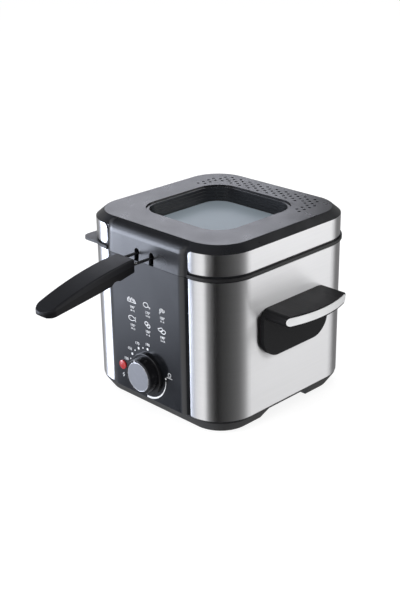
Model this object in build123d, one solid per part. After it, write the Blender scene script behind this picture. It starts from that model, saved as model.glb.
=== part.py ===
"""Compact deep fryer: steel-wrapped body, lift-off lid with a window, wire basket with a long handle.

Frame: millimetres, +Z up, the front faces -Y, and the origin is the middle of the footprint.
Every function below builds one physical piece and returns its solid or its group of solids.
"""
from build123d import *
from math import sqrt
import os

# ---------------------------------------------------------------- driving sizes
BODY_WIDTH = 200.0            # left to right over the steel
BODY_DEPTH = 200.0            # front to back over the steel
CORNER_RADIUS = 41.3          # plan corners of the steel
STEEL_BOTTOM = 15.8           # heights above the surface that the fryer stands on
COLLAR_TOP = 163.0            # where body and lid part
SEAM = 5.0                    # from there to the lid's steel band
BAND_HEIGHT = 21.3
BAND_END_RADIUS = 5.0         # rounded ends of the band beside the apron
SHOULDER_HEIGHT = 6.9         # from the band to the lid's top

STEEL = 0.8                   # thickness of the steel wrap and of the lid's band
PLASTIC = 2.5                 # general wall of the mouldings
GAP = 0.3                     # clearance between pieces that only lie beside each other
RUNNING = 0.08                # radial clearance of a shaft in its bearing

# ---------------------------------------------------------------- base and feet
FOOT_BOTTOM = 0.6             # the rubber pads stand out of the feet by this much
SKIRT_DEPTH = 2.5             # upright edge of the base under the steel
SKIRT_INSET = 0.8
FOOT_INSET = 9.4              # the feet lean in by this much at their bottom
FOOT_WIDTH = 25.0             # width of the strip of feet along the rim of the base
FOOT_GAP_TOP = 31.0           # half length of the arch between two feet, at its top and bottom
FOOT_GAP_BOTTOM = 36.0
PAD_RADIUS = 7.0
PAD_HEIGHT = 2.6
RIB_HEIGHT = 9.0              # upstand that locates the steel wrap
RIB_WALL = 2.0
LEG_INSET = 24.0              # the collar's legs stand this far in from the steel
LEG_RADIUS = 4.5
LEG_SCREW_RADIUS = 1.9
LEG_SCREW_HEAD = 4.2

# ---------------------------------------------------------------- front panel and lid apron
PANEL_WIDTH = 115.0           # opening in the steel that the panel fills
PANEL_FLAT = 102.0            # flat middle of the panel, between its slanted sides
PANEL_PROUD = 3.6             # how far the flat stands in front of the steel
PANEL_EDGE = 0.4              # how far the panel's edges stand in front of the steel
PANEL_BEND = 15.0             # radius of the bend between the flat and a slanted side
PANEL_LIP = 1.0               # rounded lower edge of the panel
PANEL_TOP_GAP = 0.2           # from the panel's top to the collar's top
PANEL_SHADOW = 0.6            # the panel and the apron stand clear of the steel beside them
APRON_ROUND = 13.0            # radius between the lid's top and the apron
APRON_BACK = 20.0             # how far the apron's block reaches into the lid
APRON_FLARE = 6.0             # above the band the apron widens by this much into the shoulder
APRON_LEAN = 2.4              # the apron leans back by this much from its lower edge to the lid's top
SLOT_SPACING = 21.0           # the two slots that the handle wires pass through
SLOT_WIDTH = 6.4
SLOT_CROWN = 5.2              # from the middle of the wires to the slots' round top

# ---------------------------------------------------------------- pot, element and controls
POT_MARGIN = 22.0             # from the steel to the pot's wall
POT_RADIUS = 33.0
POT_WALL = 1.5
POT_DEPTH = 103.0
POT_FLANGE = 5.7              # how far the pot's rim reaches past its wall
CUTOUT_RADIUS = 9.0
CUTOUT_HEIGHT = 7.0
CUTOUT_TAB = 8.0              # length of the cut-out's two contact tabs
ELEMENT_TUBE = 6.6            # diameter of the heating tube
ELEMENT_LOOP = 100.0
ELEMENT_RADIUS = 25.0
ELEMENT_TAIL_X = 9.0          # half the distance between the heater's two ends
ELEMENT_TAIL = 22.0           # how far these ends reach down
ELEMENT_TAIL_BEND = 9.0
PLATE_THICKNESS = 1.2
STUD_RADIUS = 2.0             # studs under the pot that hold the heater's plate
STUD_SPACING = 60.0
SEAL_INNER = 1.0              # the silicone ring lies between these distances from the pot's wall
SEAL_OUTER = 4.5
SEAL_HEIGHT = 2.0
FEELER_RADIUS = 2.5
FEELER_REAR_Y = -13.0         # the feeler lies between these places under the pot
FEELER_FRONT_Y = -28.0
CAPILLARY_RADIUS = 1.0
CAPILLARY_RISE = 6.0          # the capillary leaves the thermostat upward, then turns back
CAPILLARY_RUN = 9.0
THERMOSTAT_RADIUS = 13.0
THERMOSTAT_DEPTH = 17.0
THERMOSTAT_STRAP = 2.0        # sheet that holds the thermostat to the panel
THERMOSTAT_STRAP_HALF = 19.0
THERMOSTAT_STRAP_RISE = 9.0
BLADE_X = 6.0                 # the two contact blades stand this far beside the axis
BLADE_LENGTH = 7.0
BLADE_DROP = 7.2              # and this far below it
BLADE_SHEET = 0.8
KNOB_HEIGHT = 44.8            # height of the knob's axis
KNOB_SKIRT_RADIUS = 22.0
KNOB_RADIUS = 18.6
KNOB_FRONT_RADIUS = 18.0
KNOB_DEPTH = 13.0             # from the panel to the knob's face
KNOB_SKIRT = 3.0
KNOB_CAP_RADIUS = 15.6
KNOB_CAP_DEPTH = 1.5          # how deep the metal disc sits in the knob's face
KNOB_CAP_PROUD = 0.3
KNOB_CAP_CHAMFER = 0.8
SHAFT_RADIUS = 3.0
LAMP_X = -37.4
LAMP_Z = 42.0
LAMP_RADIUS = 4.8
LAMP_STEM_RADIUS = 4.0
LAMP_EDGE = 1.2               # straight edge of the lens before its dome
LAMP_DOME_RADIUS = 14.0
LAMP_HOLDER_LENGTH = 16.0

# ---------------------------------------------------------------- lid
SHOULDER_INSET = 7.5          # slope between the steel band and the lid's top
SHOULDER_RADIUS = 36.0
TOP_WALL = 2.5
WINDOW_SIZE = 120.0
WINDOW_RADIUS = 27.0
WINDOW_STEP = 3.4             # ledge round the mouth of the window recess
WINDOW_STEP_DEPTH = 1.6
WINDOW_RIDGES = 3             # ridges round the recess's wall below the ledge
WINDOW_RIDGE = 0.8            # each one stands in by this much
WINDOW_RIDGE_DEPTH = 3.3
PANE_DEPTH = 16.2             # from the lid's top down to the pane
PANE_THICKNESS = 3.0
LINER_DEPTH = 21.2
LINER_WALL = 1.5
RIM_PROUD = 1.8               # how far the lid's rim stands out past the steel
RIM_HEIGHT = 3.2
RIM_FLOOR = 2.2
TAB_RADIUS = 10.0             # rounded corner of the thumb tab
VENT_RADIUS = 1.7
VENT_COLUMN_PITCH = 6.5
VENT_HOLE_PITCH = 8.0
VENT_MARGIN = 18.0            # from the back of the lid to the last row of vents
LID_SCREW_X = 71.5
LID_SCREW_Y = 30.0
LID_BOSS_RADIUS = 4.0
LID_WALL_INSET = STEEL + 0.2  # the moulding's wall behind the lid's steel band
LID_WALL = 2.3
FILTER_MARGIN = 20.5          # from the plane of the pot's wall to the end of the grease filter
FILTER_BORDER = 4.5           # rim on which the filter lies round the liner's opening
FILTER_THICKNESS = 6.0
FILTER_SLOTS = 12
FILTER_SLOT_WIDTH = 5.2

# ---------------------------------------------------------------- basket and handle
BASKET_MARGIN = 9.5           # from the outside of the pot to the basket
BASKET_RADIUS = 29.0
BASKET_WALL = 1.0
BASKET_DROP = 5.0             # the rim wire's centre lies this far below the collar's top
BASKET_WIRE = 3.5
BRACKET_WIDTH = 32.0
BRACKET_SHEET = 1.2
BRACKET_LENGTH = 69.8
BRACKET_BEND = 5.0            # the sheet leaves the basket's wall this far below the rim
BRACKET_BEND_HEIGHT = 3.0
WIRE_DIAMETER = 3.0
WIRE_RISE = 7.8               # from the collar's top to the middle of the wires
WIRE_LENGTH = 26.0            # bare wire between the body and the grip
WIRE_SOCKET = 32.0            # how far the wires reach into the grip
WIRE_FIT = 0.05               # radial clearance of the wires in their holes
SWAGE = 1.8                   # swaged collars on the wires, on both sides of the bracket
SWAGE_RADIUS = 0.8            # in wire diameters
GRIP_WIDTH = 26.0
GRIP_SLIM_REAR = 0.2          # each side draws in by these at the grip's rear and before its tip
GRIP_SLIM_TIP = 0.8
GRIP_TIP_LENGTH = 11.0        # length of the round tip in the plan
GRIP_LENGTH = 105.5
GRIP_RISE = 6.2               # the grip's top stands this far above the wires at its rear
GRIP_FALL_MIDDLE = 7.6        # and its top line falls by these to its middle and its tip
GRIP_FALL = 24.5
GRIP_REAR_HEIGHT = 13.8       # height of the grip at its rear
GRIP_STEP = 29.2              # from the grip's rear to the finger step in its underside
GRIP_STEP_FALL = 20.0         # the step's lower edge lies this far below the top line at the rear
GRIP_STEP_RISE = 3.2
GRIP_TIP_CURVE = ((0, 2.4), (1.0, 4.2), (3.4, 5.6), (8.0, 5.9))  # rounded tip: distance behind it, depth
GRIP_SHELL = 6.5              # depth of the upper shell below the grip's top line
GRIP_SHELL_TIP = 0.3          # and the share of it that is left at the tip
GRIP_PARTING = 0.05           # the two shells meet with this much between them
GRIP_EDGE = 1.5               # softened edges of the grip
GRIP_SCREW = 70.0             # from the grip's rear to the screw
GRIP_SCREW_FALL = 23.0        # the top of the screw's head below the top line at the rear
GRIP_SCREW_LENGTH = 7.5

# ---------------------------------------------------------------- side handles
HANDLE_Y = 2.0                # middle of the side handles, front to back
HANDLE_WIDTH = 96.0
HANDLE_PLATE = 5.0
HANDLE_TOP = 125.0
HANDLE_BOTTOM = 73.0
HANDLE_PLATE_RADIUS = 22.0
HANDLE_REACH = 37.5           # from the steel to the nose of the grip
HANDLE_NOSE_HEIGHT = 11.6
HANDLE_NOSE_RADIUS = 125.0
HANDLE_TRIM = 0.6             # how far the metal strip stands in front of the nose
HANDLE_TRIM_MARGIN = 1.7      # plastic left visible round the strip
HANDLE_SHELF_INSET = 2.0      # the shelf ends this far inside the plate's ends
HANDLE_NOSE_DEPTH = 16.0      # from the nose back to the finger groove
HANDLE_GROOVE_INSET = 12.0    # from the plate's ends to the groove's ends
HANDLE_GROOVE_ROOF = 3.0      # plastic left above the groove
HANDLE_SCREW_Z = 92.0
HANDLE_SCREW_SPACING = 56.0

# ---------------------------------------------------------------- cord inlet at the back
GLAND_X = 60.0
GLAND_Z = 32.0
GLAND_BORE = 3.6
GLAND_NECK = 6.0
GLAND_FLANGE = 8.5
GLAND_FLANGE_THICKNESS = 2.5
GLAND_LENGTH = 10.0           # how far the bush reaches into the body
TERMINAL_HEIGHT = 14.2
TERMINAL_DEPTH = 16.0
TERMINAL_PITCH = 10.0
LEAD_RADIUS = 1.2
LEAD_TURN_Y = -62.0           # where the leads turn up, in front of the heater's ends

# ---------------------------------------------------------------- values that follow
FRONT_Y = -BODY_DEPTH / 2
BACK_Y = BODY_DEPTH / 2
SIDE_X = BODY_WIDTH / 2
PANEL_Y = FRONT_Y - PANEL_PROUD
BAND_BOTTOM = COLLAR_TOP + SEAM
BAND_TOP = BAND_BOTTOM + BAND_HEIGHT
LID_TOP = BAND_TOP + SHOULDER_HEIGHT
RIM_TOP = COLLAR_TOP + RIM_HEIGHT
WIRE_HEIGHT = COLLAR_TOP + WIRE_RISE
SLOT_TOP = WIRE_HEIGHT + SLOT_CROWN
POT_SIZE = min(BODY_WIDTH, BODY_DEPTH) - 2 * POT_MARGIN
POT_SIDE = POT_SIZE / 2
POT_BOTTOM = COLLAR_TOP - POT_DEPTH
POT_FLOOR = POT_BOTTOM + POT_WALL
FLANGE_SIDE = POT_SIDE + POT_FLANGE
FLANGE_BOTTOM = COLLAR_TOP - POT_WALL
STEEL_TOP = COLLAR_TOP - 1.5
BASE_FLOOR = STEEL_BOTTOM - SKIRT_DEPTH
BASKET_SIZE = POT_SIZE - 2 * BASKET_MARGIN
BASKET_SIDE = BASKET_SIZE / 2
BASKET_RIM = COLLAR_TOP - BASKET_DROP
BASKET_FLOOR = POT_FLOOR + GAP + BASKET_WIRE
LINER_BOTTOM = LID_TOP - LINER_DEPTH
LINER_TOP = LINER_BOTTOM + LINER_WALL
PANE_TOP = LID_TOP - PANE_DEPTH
PANE_BOTTOM = PANE_TOP - PANE_THICKNESS
WELL_BOTTOM = PANE_TOP + 1.0
PANE_SIZE = WINDOW_SIZE - 3.0
PANE_RADIUS = WINDOW_RADIUS - 1.5
FILTER_HALF = POT_SIDE - FILTER_MARGIN
FILTER_OPENING = FILTER_HALF - FILTER_BORDER
FILTER_FRONT_Y = WINDOW_SIZE / 2 + 4.5
FILTER_BACK_Y = POT_SIDE + 1.0
PLATE_TOP = POT_BOTTOM - ELEMENT_TUBE
TERMINAL_Y = BACK_Y - 44.0
BRACKET_Y = -BASKET_SIDE - BASKET_WIRE / 2 + BASKET_WALL / 2 - 0.2
BRACKET_TOP = WIRE_HEIGHT + WIRE_DIAMETER
BRACKET_BOTTOM = BRACKET_TOP - BRACKET_LENGTH
VENT_BACK_Y = BACK_Y - VENT_MARGIN
GRIP_REAR_Y = FRONT_Y - WIRE_LENGTH
GRIP_TIP_Y = GRIP_REAR_Y - GRIP_LENGTH
GRIP_REAR_TOP = WIRE_HEIGHT + GRIP_RISE
GRIP_TIP_TOP = GRIP_REAR_TOP - GRIP_FALL
GRIP_STEP_Y = GRIP_REAR_Y - GRIP_STEP
GRIP_STEP_Z = GRIP_REAR_TOP - GRIP_STEP_FALL
GRIP_SCREW_Y = GRIP_REAR_Y - GRIP_SCREW
GRIP_SCREW_Z = GRIP_REAR_TOP - GRIP_SCREW_FALL
GRIP_MIDDLE_Y = GRIP_REAR_Y - 0.48 * GRIP_LENGTH
GRIP_FLOOR = GRIP_STEP_Z - 30
PANEL_BACK_Y = PANEL_Y + PLASTIC
WELL_SIZE = WINDOW_SIZE - 2 * WINDOW_STEP
WELL_RADIUS = WINDOW_RADIUS - WINDOW_STEP
RIDGES_IN = WINDOW_RIDGES * WINDOW_RIDGE
ELEMENT_TAIL_Z = POT_BOTTOM - ELEMENT_TUBE / 2 - ELEMENT_TAIL


# ---------------------------------------------------------------- helpers
def box(x_low, x_high, y_low, y_high, z_low, z_high):
    """Upright block between two corners."""
    size = (x_high - x_low, y_high - y_low, z_high - z_low)
    middle = ((x_low + x_high) / 2, (y_low + y_high) / 2, (z_low + z_high) / 2)
    return Pos(*middle) * Box(*size)


def slab(width, depth, radius, z_low, z_high):
    """Block with a rounded-rectangle plan about the vertical axis."""
    return extrude(Pos(0, 0, z_low) * RectangleRounded(width, depth, radius), z_high - z_low)


def plan_slab(inset, z_low, z_high):
    """Block whose plan is the steel body's plan, moved in by the inset."""
    return slab(BODY_WIDTH - 2 * inset, BODY_DEPTH - 2 * inset, CORNER_RADIUS - inset, z_low, z_high)


def plan_ring(outer, inner, z_low, z_high):
    """Upright wall that follows the steel body's plan between two insets."""
    return plan_slab(outer, z_low, z_high) - plan_slab(inner, z_low - 1, z_high + 1)


def plan_taper(inset_low, z_low, inset_high, z_high, radius_high=None):
    """Block that leans evenly from one inset plan to another."""
    radius_high = radius_high or CORNER_RADIUS - inset_high
    low = RectangleRounded(BODY_WIDTH - 2 * inset_low, BODY_DEPTH - 2 * inset_low, CORNER_RADIUS - inset_low)
    high = RectangleRounded(BODY_WIDTH - 2 * inset_high, BODY_DEPTH - 2 * inset_high, radius_high)
    return loft([Pos(0, 0, z_low) * low, Pos(0, 0, z_high) * high])


def upright(x, y, radius, z_low, z_high):
    """Vertical round bar."""
    return Pos(x, y, (z_low + z_high) / 2) * Cylinder(radius, z_high - z_low)


def along_y(x, z, radius, y_low, y_high):
    """Round bar that runs front to back."""
    return Pos(x, (y_low + y_high) / 2, z) * Rot(90, 0, 0) * Cylinder(radius, y_high - y_low)


def along_x(y, z, radius, x_low, x_high):
    """Round bar that runs left to right."""
    return Pos((x_low + x_high) / 2, y, z) * Rot(0, 90, 0) * Cylinder(radius, x_high - x_low)


def group(pieces):
    """Separate solids that share one node."""
    return Compound(children=[piece for piece in pieces])


def corners(x, y):
    """The four mirrored places of a point."""
    return [(sx * x, sy * y) for sx in (-1, 1) for sy in (-1, 1)]


def bumped_outline(front, flat, side, edge, rear):
    """Plan that is flat in front, with sides that slant back to the edges and round bends between."""
    points = [(-edge, rear), (-edge, side), (-flat, front), (flat, front), (edge, side), (edge, rear)]
    outline = make_face(Polyline(*points, close=True))
    return fillet(outline.vertices().group_by(Axis.Y)[0], PANEL_BEND)


def bumped_block(outline, z_low, z_high, lean=0.0):
    """Upright block on an outline, leaning back by this much towards its top."""
    if lean:
        return loft([Pos(0, 0, z_low) * outline, Pos(0, lean, z_high) * outline])
    return extrude(Pos(0, 0, z_low) * outline, z_high - z_low)


def panel_block(z_low, z_high, shrink=0.0, back=PANEL_EDGE + 6.0, lean=0.0):
    """Shallow bump of the front panel and the lid's apron."""
    side = FRONT_Y - PANEL_EDGE
    flat = PANEL_FLAT / 2 - shrink * 0.5
    edge = PANEL_WIDTH / 2 - PANEL_SHADOW - shrink
    outline = bumped_outline(PANEL_Y + shrink, flat, side + shrink, edge, side + back)
    return bumped_block(outline, z_low, z_high, lean)


def front_edges(face):
    """The five edges round the front of a bumped block's upper or lower face."""
    return face.edges().sort_by(Axis.Y)[:5]


# ---------------------------------------------------------------- body
def base_tray():
    """Bottom moulding: skirt, floor, a full-width front foot and two rear corner feet."""
    feet = plan_taper(FOOT_INSET, FOOT_BOTTOM, SKIRT_INSET, BASE_FLOOR)
    feet = fillet(feet.faces().sort_by(Axis.Z)[0].edges(), 2)
    skirt = plan_slab(SKIRT_INSET, BASE_FLOOR, STEEL_BOTTOM)
    hollow = slab(
        BODY_WIDTH - 2 * (FOOT_INSET + FOOT_WIDTH),
        BODY_DEPTH - 2 * (FOOT_INSET + FOOT_WIDTH),
        20,
        FOOT_BOTTOM - 1,
        BASE_FLOOR,
    )
    low = FOOT_BOTTOM - 1
    arch = make_face(
        Polyline(
            (-FOOT_GAP_BOTTOM, low), (FOOT_GAP_BOTTOM, low),
            (FOOT_GAP_TOP, BASE_FLOOR), (-FOOT_GAP_TOP, BASE_FLOOR),
            close=True,
        )
    )
    side_arches = extrude(Plane.YZ * arch, BODY_WIDTH, both=True)
    rear_arch = extrude(Plane.XZ * arch, -BODY_DEPTH)
    rib = plan_ring(SKIRT_INSET + GAP, SKIRT_INSET + GAP + RIB_WALL, STEEL_BOTTOM, STEEL_BOTTOM + RIB_HEIGHT)
    tray = feet + skirt - hollow - side_arches - rear_arch + rib
    for x, y in pad_places():
        tray -= upright(x, y, PAD_RADIUS + 0.1, FOOT_BOTTOM - 1, PAD_HEIGHT)
    for x, y in leg_places():
        tray -= upright(x, y, LEG_SCREW_HEAD + 0.8, FOOT_BOTTOM - 1, BASE_FLOOR - PLASTIC)
        tray -= upright(x, y, LEG_SCREW_RADIUS + GAP, FOOT_BOTTOM - 1, STEEL_BOTTOM + 1)
    return tray


def pad_places():
    """Where the rubber pads sit: two under the front foot, one under each rear foot."""
    front_y = FRONT_Y + FOOT_INSET + FOOT_WIDTH / 2
    side_x = SIDE_X - FOOT_INSET - FOOT_WIDTH / 2
    rear_y = BACK_Y - FOOT_INSET - FOOT_WIDTH - 13.6
    return [(-side_x + 28, front_y), (side_x - 28, front_y), (-side_x, rear_y), (side_x, rear_y)]


def leg_places():
    """Where the collar's four legs stand, beside the pot's corners."""
    return corners(SIDE_X - LEG_INSET, BACK_Y - LEG_INSET)


def foot_pads():
    """Rubber pads on which the fryer stands."""
    return group([upright(x, y, PAD_RADIUS, 0, PAD_HEIGHT) for x, y in pad_places()])


def base_screws():
    """Screws from below into the collar's legs, recessed in the feet."""
    screws = []
    for x, y in leg_places():
        head = upright(x, y, LEG_SCREW_HEAD, BASE_FLOOR - PLASTIC - 2.6, BASE_FLOOR - PLASTIC)
        screws.append(head + upright(x, y, LEG_SCREW_RADIUS, BASE_FLOOR - PLASTIC, STEEL_BOTTOM + 14))
    return group(screws)


def body_wrap():
    """Steel sheet round both sides and the back, open at the front for the panel."""
    wrap = plan_ring(0, STEEL, STEEL_BOTTOM, STEEL_TOP)
    half = PANEL_WIDTH / 2
    wrap -= box(-half, half, FRONT_Y - 1, FRONT_Y + 10, STEEL_BOTTOM - 1, STEEL_TOP + 1)
    wrap -= along_y(GLAND_X, GLAND_Z, GLAND_NECK + 0.1, BACK_Y - 2, BACK_Y + 1)
    for y in handle_screw_rows():
        wrap -= along_x(y, HANDLE_SCREW_Z, 2.2, -SIDE_X - 1, SIDE_X + 1)
    return wrap


def collar_frame():
    """Plastic ring that carries the pot's rim, on four legs that stand on the base."""
    deck_low = FLANGE_BOTTOM - PLASTIC
    deck = plan_slab(SKIRT_INSET, STEEL_TOP + 0.1, COLLAR_TOP)
    inner = plan_slab(SKIRT_INSET + GAP, deck_low, STEEL_TOP + 0.1)
    rib = plan_ring(SKIRT_INSET + GAP, SKIRT_INSET + GAP + RIB_WALL, deck_low - RIB_HEIGHT, deck_low)
    collar = deck + inner + rib
    for x, y in leg_places():
        collar += upright(x, y, LEG_RADIUS, STEEL_BOTTOM, deck_low)
    opening = 2 * (POT_SIDE + GAP)
    recess = 2 * (FLANGE_SIDE + 0.2)
    collar -= slab(opening, opening, POT_RADIUS + GAP, 0, COLLAR_TOP + 1)
    collar -= slab(recess, recess, POT_RADIUS + POT_FLANGE + 0.2, FLANGE_BOTTOM, COLLAR_TOP + 1)
    for x, y in leg_places():
        collar -= upright(x, y, LEG_SCREW_RADIUS + 0.05, STEEL_BOTTOM - 1, STEEL_BOTTOM + 16)
    return collar


def front_panel():
    """Moulded control panel in the opening of the steel, with holes for the shaft and the lamp."""
    top = COLLAR_TOP - PANEL_TOP_GAP
    panel = panel_block(STEEL_BOTTOM, top, 0, 1.0)
    panel = fillet(front_edges(panel.faces().sort_by(Axis.Z)[0]), PANEL_LIP)
    panel -= panel_block(STEEL_BOTTOM - 1, top - PLASTIC, PLASTIC, 2.0)
    panel -= along_y(0, KNOB_HEIGHT, SHAFT_RADIUS + 1.2, PANEL_Y - 1, FRONT_Y + 1)
    panel -= along_y(LAMP_X, LAMP_Z, LAMP_STEM_RADIUS + 0.2, PANEL_Y - 1, FRONT_Y + 1)
    return panel


def oil_pot():
    """Coated inner pot with a flat rim that hangs in the collar."""
    outer = slab(POT_SIZE, POT_SIZE, POT_RADIUS, POT_BOTTOM, COLLAR_TOP)
    outer = fillet(outer.faces().sort_by(Axis.Z)[0].edges(), 8)
    inner_size = POT_SIZE - 2 * POT_WALL
    inner = slab(inner_size, inner_size, POT_RADIUS - POT_WALL, POT_FLOOR, COLLAR_TOP + 5)
    inner = fillet(inner.faces().sort_by(Axis.Z)[0].edges(), 8 - POT_WALL)
    flange = slab(2 * FLANGE_SIDE, 2 * FLANGE_SIDE, POT_RADIUS + POT_FLANGE, FLANGE_BOTTOM, COLLAR_TOP)
    pot = outer + flange - inner
    for x, y in corners(STUD_SPACING / 2, STUD_SPACING / 2):
        pot += upright(x, y, STUD_RADIUS, PLATE_TOP - 9, POT_BOTTOM + 0.5)
    return pot


def pot_seal():
    """Silicone ring on the pot's rim, on which the closed lid bears."""
    outer = 2 * (POT_SIDE + SEAL_OUTER)
    inner = 2 * (POT_SIDE + SEAL_INNER)
    top = COLLAR_TOP + SEAL_HEIGHT
    ring = slab(outer, outer, POT_RADIUS + SEAL_OUTER, COLLAR_TOP, top)
    return ring - slab(inner, inner, POT_RADIUS + SEAL_INNER, COLLAR_TOP - 1, top + 1)


def heating_element():
    """Tubular heater: a loop under the pot whose two ends turn down in front."""
    half = ELEMENT_LOOP / 2
    tail = ELEMENT_TAIL_X
    low = ELEMENT_TAIL_Z
    z = low + ELEMENT_TAIL
    route = [
        (-tail, -half, low), (-tail, -half, z), (-half, -half, z), (-half, half, z),
        (half, half, z), (half, -half, z), (tail, -half, z), (tail, -half, low),
    ]
    radii = [ELEMENT_TAIL_BEND] + 4 * [ELEMENT_RADIUS] + [ELEMENT_TAIL_BEND]
    path = FilletPolyline(*route, radius=radii)
    section = Plane(origin=route[0], z_dir=(0, 0, 1)) * Circle(ELEMENT_TUBE / 2)
    return sweep(section, path=path)


def element_plate():
    """Pressed plate that holds the heater against the pot, on the pot's four studs."""
    size = ELEMENT_LOOP + 24
    plate = slab(size, size, ELEMENT_RADIUS + 12, PLATE_TOP - PLATE_THICKNESS, PLATE_TOP)
    for x, y in corners(STUD_SPACING / 2, STUD_SPACING / 2):
        plate -= upright(x, y, STUD_RADIUS + GAP, PLATE_TOP - 5, PLATE_TOP + 5)
    plate -= box(-18, 18, -size, -ELEMENT_LOOP / 2 + 12, PLATE_TOP - 5, PLATE_TOP + 5)
    return plate - upright(0, 0, CUTOUT_RADIUS + 4, PLATE_TOP - 5, PLATE_TOP + 5)


def plate_nuts():
    """Nuts on the pot's studs below the heater's plate."""
    top = PLATE_TOP - PLATE_THICKNESS
    nuts = []
    for x, y in corners(STUD_SPACING / 2, STUD_SPACING / 2):
        nut = extrude(Pos(x, y, top - 3.2) * RegularPolygon(STUD_RADIUS * 2, 6), 3.2)
        nuts.append(nut - upright(x, y, STUD_RADIUS + 0.02, top - 4, top + 1))
    return group(nuts)


def thermal_cutout():
    """Overheat cut-out, a small disc pressed to the middle of the pot's bottom."""
    low = POT_BOTTOM - CUTOUT_HEIGHT
    disc = upright(0, 0, CUTOUT_RADIUS, low, POT_BOTTOM)
    tab = box(-CUTOUT_RADIUS + 1.5, -CUTOUT_RADIUS + 4.5, -0.4, 0.4, low - CUTOUT_TAB, low)
    return disc + tab + mirror(tab, Plane.YZ)


def thermostat():
    """Rotary thermostat behind the panel, with the bearing of the knob's shaft."""
    strap_y = PANEL_BACK_Y + THERMOSTAT_STRAP
    rear_y = strap_y + THERMOSTAT_DEPTH
    half = THERMOSTAT_STRAP_HALF
    rise = THERMOSTAT_STRAP_RISE
    switch = along_y(0, KNOB_HEIGHT, THERMOSTAT_RADIUS, strap_y, rear_y)
    switch += box(-half, half, PANEL_BACK_Y, strap_y, KNOB_HEIGHT - rise, KNOB_HEIGHT + rise)
    blade_top = KNOB_HEIGHT - BLADE_DROP
    for x in (-BLADE_X, BLADE_X):
        switch += box(x - 3, x + 3, rear_y, rear_y + BLADE_LENGTH, blade_top - BLADE_SHEET, blade_top)
    return switch - along_y(0, KNOB_HEIGHT, SHAFT_RADIUS + RUNNING, PANEL_BACK_Y - 1, rear_y - 3.5)


def sensor_tube():
    """Capillary from the thermostat to the feeler under the pot."""
    start_y = PANEL_BACK_Y + 12
    z = KNOB_HEIGHT + THERMOSTAT_RADIUS
    top = z + CAPILLARY_RISE
    down_y = start_y + CAPILLARY_RUN
    under = PLATE_TOP - PLATE_THICKNESS - FEELER_RADIUS - 0.05
    route = [
        (0, start_y, z), (0, start_y, top), (0, down_y, top), (0, down_y, under), (0, FEELER_FRONT_Y, under),
    ]
    path = FilletPolyline(*route, radius=[2.5, 2.5, 6])
    tube = sweep(Plane(origin=route[0], z_dir=(0, 0, 1)) * Circle(CAPILLARY_RADIUS), path=path)
    return tube + along_y(0, under, FEELER_RADIUS, FEELER_FRONT_Y, FEELER_REAR_Y)


def terminal_block():
    """Screw terminals on the base, near the cord's inlet."""
    top = STEEL_BOTTOM + TERMINAL_HEIGHT
    rear = TERMINAL_Y + TERMINAL_DEPTH
    margin = TERMINAL_PITCH / 2
    places = terminal_places()
    block = box(places[0] - margin, places[-1] + margin, TERMINAL_Y, rear, STEEL_BOTTOM, top)
    for x in places:
        block -= upright(x, (TERMINAL_Y + rear) / 2, 2.5, top - 6, top + 1)
    return block


def terminal_places():
    """Where the line, earth and neutral terminals stand, left to right."""
    middle = GLAND_X - 17
    return [middle - TERMINAL_PITCH, middle, middle + TERMINAL_PITCH]


def lead(points, radius=6.0):
    """Insulated wire along straight runs joined by arcs."""
    path = FilletPolyline(*points, radius=radius)
    first = Vector(*points[1]) - Vector(*points[0])
    return sweep(Plane(origin=points[0], z_dir=first) * Circle(LEAD_RADIUS), path=path)


def internal_leads():
    """Line, switched and neutral wires between terminals, thermostat and heater."""
    line_x, _, neutral_x = terminal_places()
    blade_y = PANEL_BACK_Y + THERMOSTAT_STRAP + THERMOSTAT_DEPTH + BLADE_LENGTH
    blade_z = KNOB_HEIGHT - BLADE_DROP - BLADE_SHEET / 2
    turn_y = LEAD_TURN_Y
    heater_y = -ELEMENT_LOOP / 2
    tail_x = ELEMENT_TAIL_X
    low = STEEL_BOTTOM + 2
    high = STEEL_BOTTOM + 10
    line = lead([
        (line_x, TERMINAL_Y, high), (line_x, TERMINAL_Y - 18, high), (line_x + 13, 20, high),
        (line_x + 13, -40, high), (line_x - 3, turn_y, blade_z), (BLADE_X, turn_y, blade_z),
        (BLADE_X, blade_y, blade_z),
    ])
    switched = lead([
        (-BLADE_X, blade_y, blade_z), (-BLADE_X, turn_y, blade_z), (-tail_x - 13, turn_y, blade_z),
        (-tail_x - 13, heater_y, low), (-tail_x, heater_y, low), (-tail_x, heater_y, ELEMENT_TAIL_Z),
    ], 4.0)
    neutral = lead([
        (neutral_x, TERMINAL_Y, low), (neutral_x, 10, low), (line_x - 3, -20, low),
        (tail_x, heater_y, low), (tail_x, heater_y, ELEMENT_TAIL_Z),
    ], 4.0)
    return group([line, switched, neutral])


def lamp_lens():
    """Red lens of the pilot lamp, domed in front of the panel."""
    edge_y = PANEL_Y - LAMP_EDGE
    centre_y = edge_y + sqrt(LAMP_DOME_RADIUS ** 2 - LAMP_RADIUS ** 2)
    dome = Pos(LAMP_X, centre_y, LAMP_Z) * Sphere(LAMP_DOME_RADIUS)
    dome &= along_y(LAMP_X, LAMP_Z, LAMP_RADIUS, PANEL_Y - 6, edge_y)
    head = along_y(LAMP_X, LAMP_Z, LAMP_RADIUS, edge_y, PANEL_Y)
    return head + dome + along_y(LAMP_X, LAMP_Z, LAMP_STEM_RADIUS, PANEL_Y, PANEL_BACK_Y + 1)


def lamp_holder():
    """Holder of the neon lamp, behind the panel."""
    face = PANEL_BACK_Y + 1
    return along_y(LAMP_X, LAMP_Z, LAMP_STEM_RADIUS, face, face + LAMP_HOLDER_LENGTH)


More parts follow.
